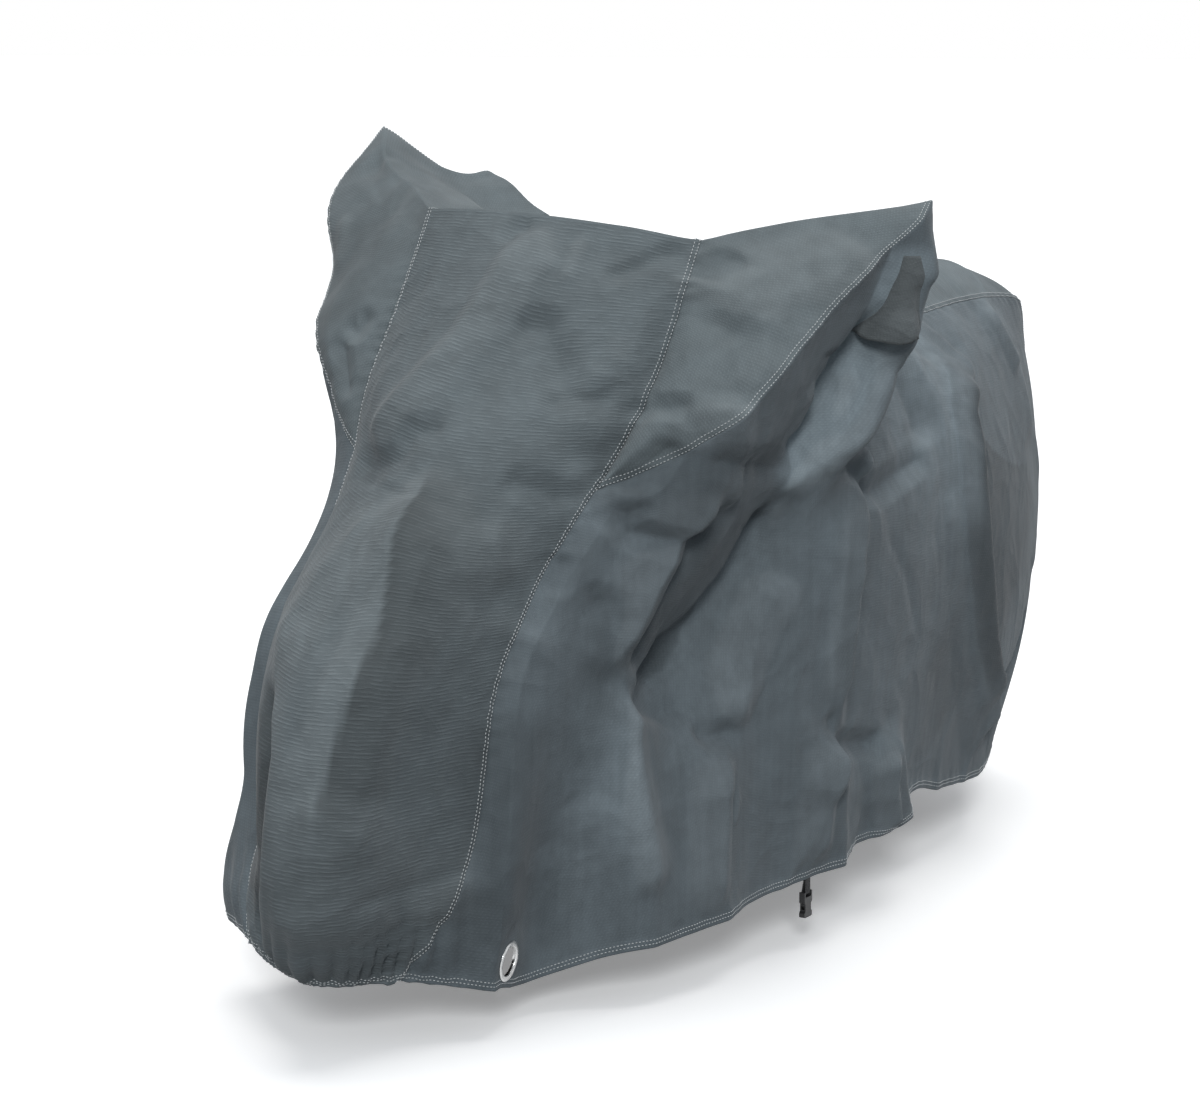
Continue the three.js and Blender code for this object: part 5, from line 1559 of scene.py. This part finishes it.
@dataclass
class Stitching:
    """Rows of stitches along the seams and hems."""

    drape: Drape
    finishes: Finishes
    pitch: float = 0.0052
    length: float = 0.0038
    thread: float = 0.0015
    lift: float = 0.35
    seam_rows: Span = (2.2, 8.4)
    hem_rows: Span = (6.0, 11.5)

    def tree(self) -> Tree:
        """Geometry Nodes tree that lays stitches along the edges of a mesh."""
        group = bpy.data.node_groups.new("stitch_rows", "GeometryNodeTree")
        socket(group, "Geometry", "NodeSocketGeometry", "INPUT")
        for word, value in (("Pitch", self.pitch), ("Stitch Length", self.length), ("Thread", self.thread)):
            socket(group, word, "NodeSocketFloat", "INPUT", value)
        socket(group, "Finish", "NodeSocketMaterial", "INPUT")
        socket(group, "Geometry", "NodeSocketGeometry", "OUTPUT")
        make = Nodes(group)
        start, end = make.add("NodeGroupInput"), make.add("NodeGroupOutput")
        rows = make.add("GeometryNodeMeshToCurve", {"Mesh": start.outputs["Geometry"]}).outputs[0]
        pitch = {"Curve": rows, "Length": start.outputs["Pitch"]}
        steps = make.add("GeometryNodeResampleCurve", pitch, mode="LENGTH")
        bead = make.add("GeometryNodeMeshIcoSphere", {"Radius": 0.5, "Subdivisions": 1}).outputs[0]
        way = make.add("GeometryNodeInputTangent").outputs[0]
        turn = make.add("FunctionNodeAlignRotationToVector", {"Vector": way}, axis="Z").outputs[0]
        size = make.add("ShaderNodeCombineXYZ", {0: start.outputs["Thread"], 1: start.outputs["Thread"],
                                                 2: start.outputs["Stitch Length"]}).outputs[0]
        laid = make.add("GeometryNodeInstanceOnPoints", {"Points": steps.outputs[0], "Instance": bead,
                                                         "Rotation": turn, "Scale": size}).outputs[0]
        real = make.add("GeometryNodeRealizeInstances", {0: laid}).outputs[0]
        soft = make.add("GeometryNodeSetShadeSmooth", {"Geometry": real}).outputs[0]
        dressed = make.add("GeometryNodeSetMaterial", {"Geometry": soft, "Material": start.outputs["Finish"]})
        group.links.new(dressed.outputs[0], end.inputs[0])
        return group

    def lay(self, name: str, lines: Sequence[Array], tree: Tree) -> Piece:
        """Lays stitches along lines on the cloth.

        Args:
            name: the piece's name.
            lines: the rows' points, upright.
            tree: the stitch tree.

        Returns:
            The stitches as a plain mesh object.
        """
        points, edges = [], []
        for line in lines:
            start = len(points)
            points += self.drape.placed(line).tolist()
            edges += [(start + k, start + k + 1) for k in range(len(line) - 1)]
        mesh = bpy.data.meshes.new(f"{name}_rows")
        mesh.from_pydata(points, edges, [])
        piece = link(bpy.data.objects.new(name, mesh))
        modifier = piece.modifiers.new("stitch_rows", "NODES")
        modifier.node_group = tree
        values = {"Pitch": self.pitch, "Stitch Length": self.length, "Thread": self.thread,
                  "Finish": self.finishes.thread}
        for item in tree.interface.items_tree:
            if item.in_out == "INPUT" and item.name in values:
                modifier[item.identifier] = values[item.name]
        seen = piece.evaluated_get(bpy.context.evaluated_depsgraph_get())
        made = bpy.data.meshes.new_from_object(seen)
        piece.modifiers.clear()
        piece.data = made
        if not made.materials:
            made.materials.append(self.finishes.thread)
        return piece

    def build(self) -> dict[str, Piece]:
        """Builds the stitch pieces.

        Returns:
            The pieces, by the cloth piece that carries them.
        """
        tree = self.tree()
        made = {}
        centre = self.drape.panels["centre_panel"]
        seams = [centre.seam_row(far, row, 1, self.lift) for row in self.seam_rows
                 for far in (centre.from_first_column(), centre.from_last_column())]
        hems = [centre.seam_row(far, row, 0, self.lift) for row in self.hem_rows
                for far in (centre.from_first_row(), centre.from_last_row())]
        made["centre_panel"] = self.lay("centre_panel_stitches", seams + hems, tree)
        for side in Side:
            panel = self.drape.panels[f"side_panel_{side.word}"]
            lines = [panel.seam_row(panel.from_first_column(), row, 1, self.lift) for row in self.hem_rows]
            made[panel.name] = self.lay(f"{panel.name}_stitches", lines, tree)
            gusset = self.drape.panels[f"ear_gusset_{side.word}"]
            lines = [gusset.seam_row(gusset.from_first_column(), row, 1, self.lift) for row in self.seam_rows]
            made[gusset.name] = self.lay(f"{gusset.name}_stitches", lines, tree)
        for piece in made.values():
            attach(piece, "root")
            log_piece(piece)
        return made


@dataclass
class Eyelet:
    """Rolled steel eyelet with a flange on each side of the cloth."""

    side: Side
    drape: Drape
    finishes: Finishes
    bore: float = 20.0
    tube: float = 21.5
    flange: float = 28.0
    back_flange: float = 27.0
    face: float = 2.2
    inside: float = -2.5
    back: float = -4.0
    rim: float = 0.7
    dome_power: float = 0.6
    bevel: float = 0.9
    segments: int = 96

    def profile(self) -> Array:
        """Section of the rolled metal, as radius and height, round a closed loop."""
        turns = np.linspace(0.0, math.pi, 9)
        middle, half = (self.bore + self.flange) / 2, (self.flange - self.bore) / 2
        dome = [
            (middle - half * math.cos(t), self.rim + (self.face - self.rim) * math.sin(t) ** self.dome_power)
            for t in turns
        ]
        # The few tenths below round the section's corners
        under = [(self.flange - 0.5, 0.35), (self.tube, 0.3), (self.tube, self.inside + 0.2)]
        rear = [
            (self.back_flange - 0.4, self.inside),
            (self.back_flange, (self.inside + self.back) / 2),
            (self.back_flange - 0.6, self.back),
            (self.bore + self.bevel, self.back),
            (self.bore, self.back + self.bevel),
        ]
        return np.array(dome + under + rear)

    def build(self) -> Piece:
        seat = EyeletSeat.of(self.side, self.drape)
        across, up = seat.plane()
        section = self.profile()
        angles = np.linspace(0.0, 2 * math.pi, self.segments, endpoint=False)
        ring = np.cos(angles)[:, None] * across + np.sin(angles)[:, None] * up
        points = seat.centre + ring[:, None] * section[None, :, :1] + seat.axis * section[None, :, 1:]
        rows, columns = points.shape[:2]
        at = np.arange(rows * columns).reshape(rows, columns)
        right, down = np.roll(at, -1, 0), np.roll(at, -1, 1)
        faces = np.stack([at, right, np.roll(right, -1, 1), down], -1).reshape(-1, 4)
        name = f"eyelet_{self.side.word}"
        piece = mesh_piece(f"{name}_ring", self.drape.placed(points.reshape(-1, 3)), faces)
        face_outwards(piece)
        piece.data.materials.append(self.finishes.steel)
        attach(piece, "root")
        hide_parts(name)
        log_piece(piece)
        return piece


@dataclass
class VentHood:
    """Hooded vent behind an ear: a flange sewn flat along each edge, swelling to an open mouth below."""

    side: Side
    drape: Drape
    finishes: Finishes
    top: Span = (-196.0, 1050.0)
    mouth: Span = (-186.0, 938.0)
    narrow: float = 11.0
    broad: float = 26.0
    rise: float = 24.0
    flange: float = 0.78
    swell_power: float = 0.8
    rise_power: float = 1.3
    lay: float = 0.9
    clear: float = 900.0
    thickness: float = 1.3
    steps: int = 30
    across: int = 26
    cut: Cut = Cut(0.075, 0.12, 0.0072)

    def build(self, panel: Panel) -> Piece:
        """Args:
            panel: the side panel that carries it.

        Returns:
            The piece.
        """
        skin = BVHTree.FromPolygons(panel.listed.tolist(), panel.faces().tolist())
        way = Vector((0.0, -self.side.value, 0.0))
        grid = np.zeros((self.steps + 1, self.across + 1, 3))
        for k in range(self.steps + 1):
            share = k / self.steps
            half = self.narrow + (self.broad - self.narrow) * share
            middle = self.top[0] + (self.mouth[0] - self.top[0]) * share
            z = self.top[1] + (self.mouth[1] - self.top[1]) * share
            for n in range(self.across + 1):
                w = 2 * n / self.across - 1
                start = Vector((middle + w * half, self.clear * self.side.value, z))
                place, normal, _, _ = skin.ray_cast(start, way)
                swell = max(0.0, 1 - (w / self.flange) ** 2) ** self.swell_power
                swell = swell * self.rise * share**self.rise_power
                grid[k, n] = place + normal.normalized() * (self.lay + swell)
        grid[1:-1, 1:-1] = (grid[:-2, 1:-1] + grid[2:, 1:-1] + grid[1:-1, :-2] + grid[1:-1, 2:]) / 4
        hood = Panel(f"vent_hood_{self.side.word}", grid, self.side is Side.RIGHT)
        hood.wear = np.zeros(grid.shape[:2] + (2,))
        piece = mesh_piece(f"{hood.name}_cloth", self.drape.placed(hood.listed), hood.faces(),
                           Cloth.flat_places(hood), hood.masks())
        wall = piece.modifiers.new("cloth", "SOLIDIFY")
        wall.thickness, wall.offset = self.thickness * MM, 1.0
        piece.data.materials.append(self.finishes.hood)
        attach(piece, "root")
        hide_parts(hood.name)
        log_piece(piece)
        return piece


@dataclass
class BellyStrap:
    """Webbing sewn inside the left hem, looped through the bar of its buckle half."""

    finishes: Finishes
    width: float = 15.0
    thickness: float = 1.4
    drop: float = 26.0
    fold_back: float = 20.0
    loop_radius: float = 2.9
    edge_round: float = 0.5
    bar_depth: float = 1.5
    top_gap: float = 0.3
    tail_gap: float = 1.1

    def route(self) -> Array:
        """Middle line of the webbing in the row frame, from its sewn end round the bar to its free end."""
        _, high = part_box("belly_strap")
        buckle_low, buckle_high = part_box("buckle_half")
        bar_y = (buckle_low[1] + buckle_high[1]) / 2 / MM
        bar_z = buckle_high[2] / MM - self.bar_depth
        front_y = bar_y - self.loop_radius
        top = np.array([high[1] / MM - self.thickness / 2, high[2] / MM - self.top_gap])
        hem = np.array([front_y, bar_z + self.drop])
        line = [top + (hem - top) * share for share in np.linspace(0.0, 1.0, 8)]
        line += [np.array([front_y, bar_z + self.drop * (1 - share)]) for share in np.linspace(0.1, 1.0, 8)]
        for turn in np.linspace(math.pi, 2 * math.pi, 14)[1:]:
            out, up = self.loop_radius * math.cos(turn), self.loop_radius * math.sin(turn)
            line.append(np.array([bar_y + out, bar_z + up]))
        end = np.array([front_y + self.thickness + self.tail_gap, bar_z + self.fold_back])
        line += [line[-1] + (end - line[-1]) * share for share in np.linspace(0.15, 1.0, 6)]
        return np.array(line)

    def build(self) -> Piece:
        line = self.route()
        low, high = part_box("belly_strap")
        middle = (low[0] + high[0]) / 2 / MM
        way = unit(np.gradient(line, axis=0))
        out = np.stack([-way[:, 1], way[:, 0]], -1)
        half, thick, soft = self.width / 2, self.thickness / 2, self.edge_round
        rim = [(-half, -thick + soft), (-half + soft, -thick), (half - soft, -thick), (half, -thick + soft),
               (half, thick - soft), (half - soft, thick), (-half + soft, thick), (-half, thick - soft)]
        points = np.zeros((len(line), len(rim), 3))
        for k, (x, off) in enumerate(rim):
            points[:, k, 0] = middle + x
            points[:, k, 1:] = line + out * off
        rows, columns = points.shape[:2]
        at = np.arange(rows * columns).reshape(rows, columns)
        around = np.roll(at, -1, 1)
        faces = np.stack([at[:-1], at[1:], around[1:], around[:-1]], -1).reshape(-1, 4)
        caps = [(at[end][a], at[end][b], at[end][c], at[end][d]) for end in (0, -1)
                for a, b, c, d in ((0, 1, 6, 7), (1, 2, 5, 6), (2, 3, 4, 5))]
        walk = np.repeat(walked(line, 0), columns)
        over = np.tile([x for x, _ in rim], rows)
        piece = mesh_piece("belly_strap_webbing", points.reshape(-1, 3) * MM, np.concatenate([faces, caps]),
                           np.stack([walk, over], -1) * MM)
        face_outwards(piece)
        piece.data.materials.append(self.finishes.webbing)
        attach(piece, "root")
        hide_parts("belly_strap")
        log_piece(piece)
        return piece

    def dress_buckle(self) -> None:
        """Gives the buckle half its moulded finish."""
        buckle = frame["nodes"]["buckle_half"]
        for slot in buckle.material_slots:
            slot.material = self.finishes.plastic
        LOG.info("buckle_half dressed")


@dataclass(frozen=True)
class Sun:
    """A broad, far light, which reaches the whole floor evenly.

    Toward is the direction from the cover to the light, strength is in watts for each square metre, and
    wide is how many degrees it measures as seen from the cover.
    """

    name: str
    toward: Triple
    strength: float
    wide_deg: float
    colour: Triple
    away: float = 4.0

    def hang(self) -> None:
        """Hangs the light."""
        data = bpy.data.lights.new(self.name, "SUN")
        data.energy, data.angle, data.color = self.strength, math.radians(self.wide_deg), self.colour
        lamp = link(bpy.data.objects.new(self.name, data))
        way = Vector(self.toward).normalized()
        lamp.location = way * self.away
        lamp.rotation_euler = way.to_track_quat("Z", "Y").to_euler()


@dataclass
class Studio:
    """Pale floor, soft light and the camera."""

    ground: float = -0.9815
    floor_size: float = 400.0
    floor_dark: Colour = (0.95, 0.95, 0.95, 1.0)
    floor_pale: Colour = (0.97, 0.97, 0.97, 1.0)
    floor_roughness: float = 0.9
    floor_glow: float = 0.25
    white: Colour = (1.0, 1.0, 1.0, 1.0)
    suns: tuple[Sun, ...] = (
        Sun("ceiling", (0.1, 0.0, 1.0), 1.5, 45.0, (1.0, 0.99, 0.97)),
        Sun("front", (-0.74, -0.44, 0.46), 1.55, 14.0, (0.97, 0.99, 1.0)),
    )
    low_light: Colour = (0.37, 0.4, 0.44, 1.0)
    high_light: Colour = (0.53, 0.55, 0.58, 1.0)
    floor_light: Colour = (0.12, 0.125, 0.13, 1.0)
    ceiling_range: Span = (0.0, 0.9)
    horizon_range: Span = (-0.12, 0.02)
    near_side: Triple = (-0.62, -0.62, 0.48)
    near_range: Span = (-0.9, 0.9)
    far_share: float = 0.4
    eye: Triple = (-4.0391, -2.2856, 0.3185)
    azimuth_deg: float = -58.2
    down_deg: float = 9.4
    focal_px: float = 3069.0
    image_width: float = 1200.0
    sensor: float = 36.0

    def floor(self) -> None:
        """Lays the floor."""
        half = self.floor_size / 2
        mesh = bpy.data.meshes.new("floor")
        ways = ((-half, -half), (half, -half), (half, half), (-half, half))
        corners = [(x, y, self.ground) for x, y in ways]
        mesh.from_pydata(corners, [], [(0, 1, 2, 3)])
        floor = link(bpy.data.objects.new("floor", mesh))
        material, make, shader = new_material("pale_floor")
        place = make.add("ShaderNodeTexCoord").outputs["Object"]
        cloud = make.ramp(make.noise(place, 0.7, 2.0), 0.3, 0.7)
        make.fill(shader, {
            "Base Color": make.mix(cloud, self.floor_dark, self.floor_pale),
            "Roughness": self.floor_roughness,
            "Emission Color": self.white,
            "Emission Strength": self.floor_glow,
        })
        mesh.materials.append(material)
        floor.visible_diffuse = False

    def sky(self) -> None:
        """Sets the surround: a broad bright ceiling, white behind the cover and dark below the floor."""
        world = bpy.data.worlds.new("surround")
        world.use_nodes = True
        bpy.context.scene.world = world
        make = Nodes(world.node_tree)
        back = world.node_tree.nodes["Background"]
        way = make.add("ShaderNodeTexCoord").outputs["Generated"]
        up = make.add("ShaderNodeSeparateXYZ", {0: way}).outputs[2]
        ceiling = make.mix(make.ramp(up, *self.ceiling_range), self.low_light, self.high_light)
        light = make.mix(make.ramp(up, *self.horizon_range), self.floor_light, ceiling)
        near = make.vector("DOT_PRODUCT", way, self.near_side, "Value")
        light = make.dimmed(light, make.ramp(near, *self.near_range, self.far_share, 1.0))
        seen = make.add("ShaderNodeLightPath").outputs["Is Camera Ray"]
        make.fill(back, {"Color": make.mix(seen, light, self.white), "Strength": 1.0})

    def camera(self) -> None:
        """Sets the camera."""
        data = bpy.data.cameras.new("camera")
        data.sensor_fit, data.sensor_width = "HORIZONTAL", self.sensor
        data.lens = self.focal_px / self.image_width * self.sensor
        camera = link(bpy.data.objects.new("camera", data))
        azimuth, down = math.radians(self.azimuth_deg), math.radians(self.down_deg)
        level = math.cos(down)
        look = Vector((-math.sin(azimuth) * level, math.cos(azimuth) * level, -math.sin(down)))
        camera.location = self.eye
        camera.rotation_euler = look.to_track_quat("-Z", "Y").to_euler()
        bpy.context.scene.camera = camera

    def build(self) -> None:
        """Sets up the whole studio."""
        self.floor()
        self.sky()
        for sun in self.suns:
            sun.hang()
        self.camera()
        bpy.context.scene.view_settings.view_transform = "Standard"


def main() -> None:
    """Builds the cover piece by piece, then the studio."""
    logging.basicConfig(level=logging.INFO, format="%(name)s %(message)s")
    finishes = Finishes()
    drape = Drape()
    drape.hang()
    cloth = Cloth(drape, finishes)
    cloth.build()
    stitches = Stitching(drape, finishes).build()
    cloth.declare()
    for side in Side:
        Eyelet(side, drape, finishes).build()
        VentHood(side, drape, finishes).build(drape.panels[f"side_panel_{side.word}"])
    strap = BellyStrap(finishes)
    strap.build()
    strap.dress_buckle()
    Studio().build()


if __name__ == "__main__":
    main()
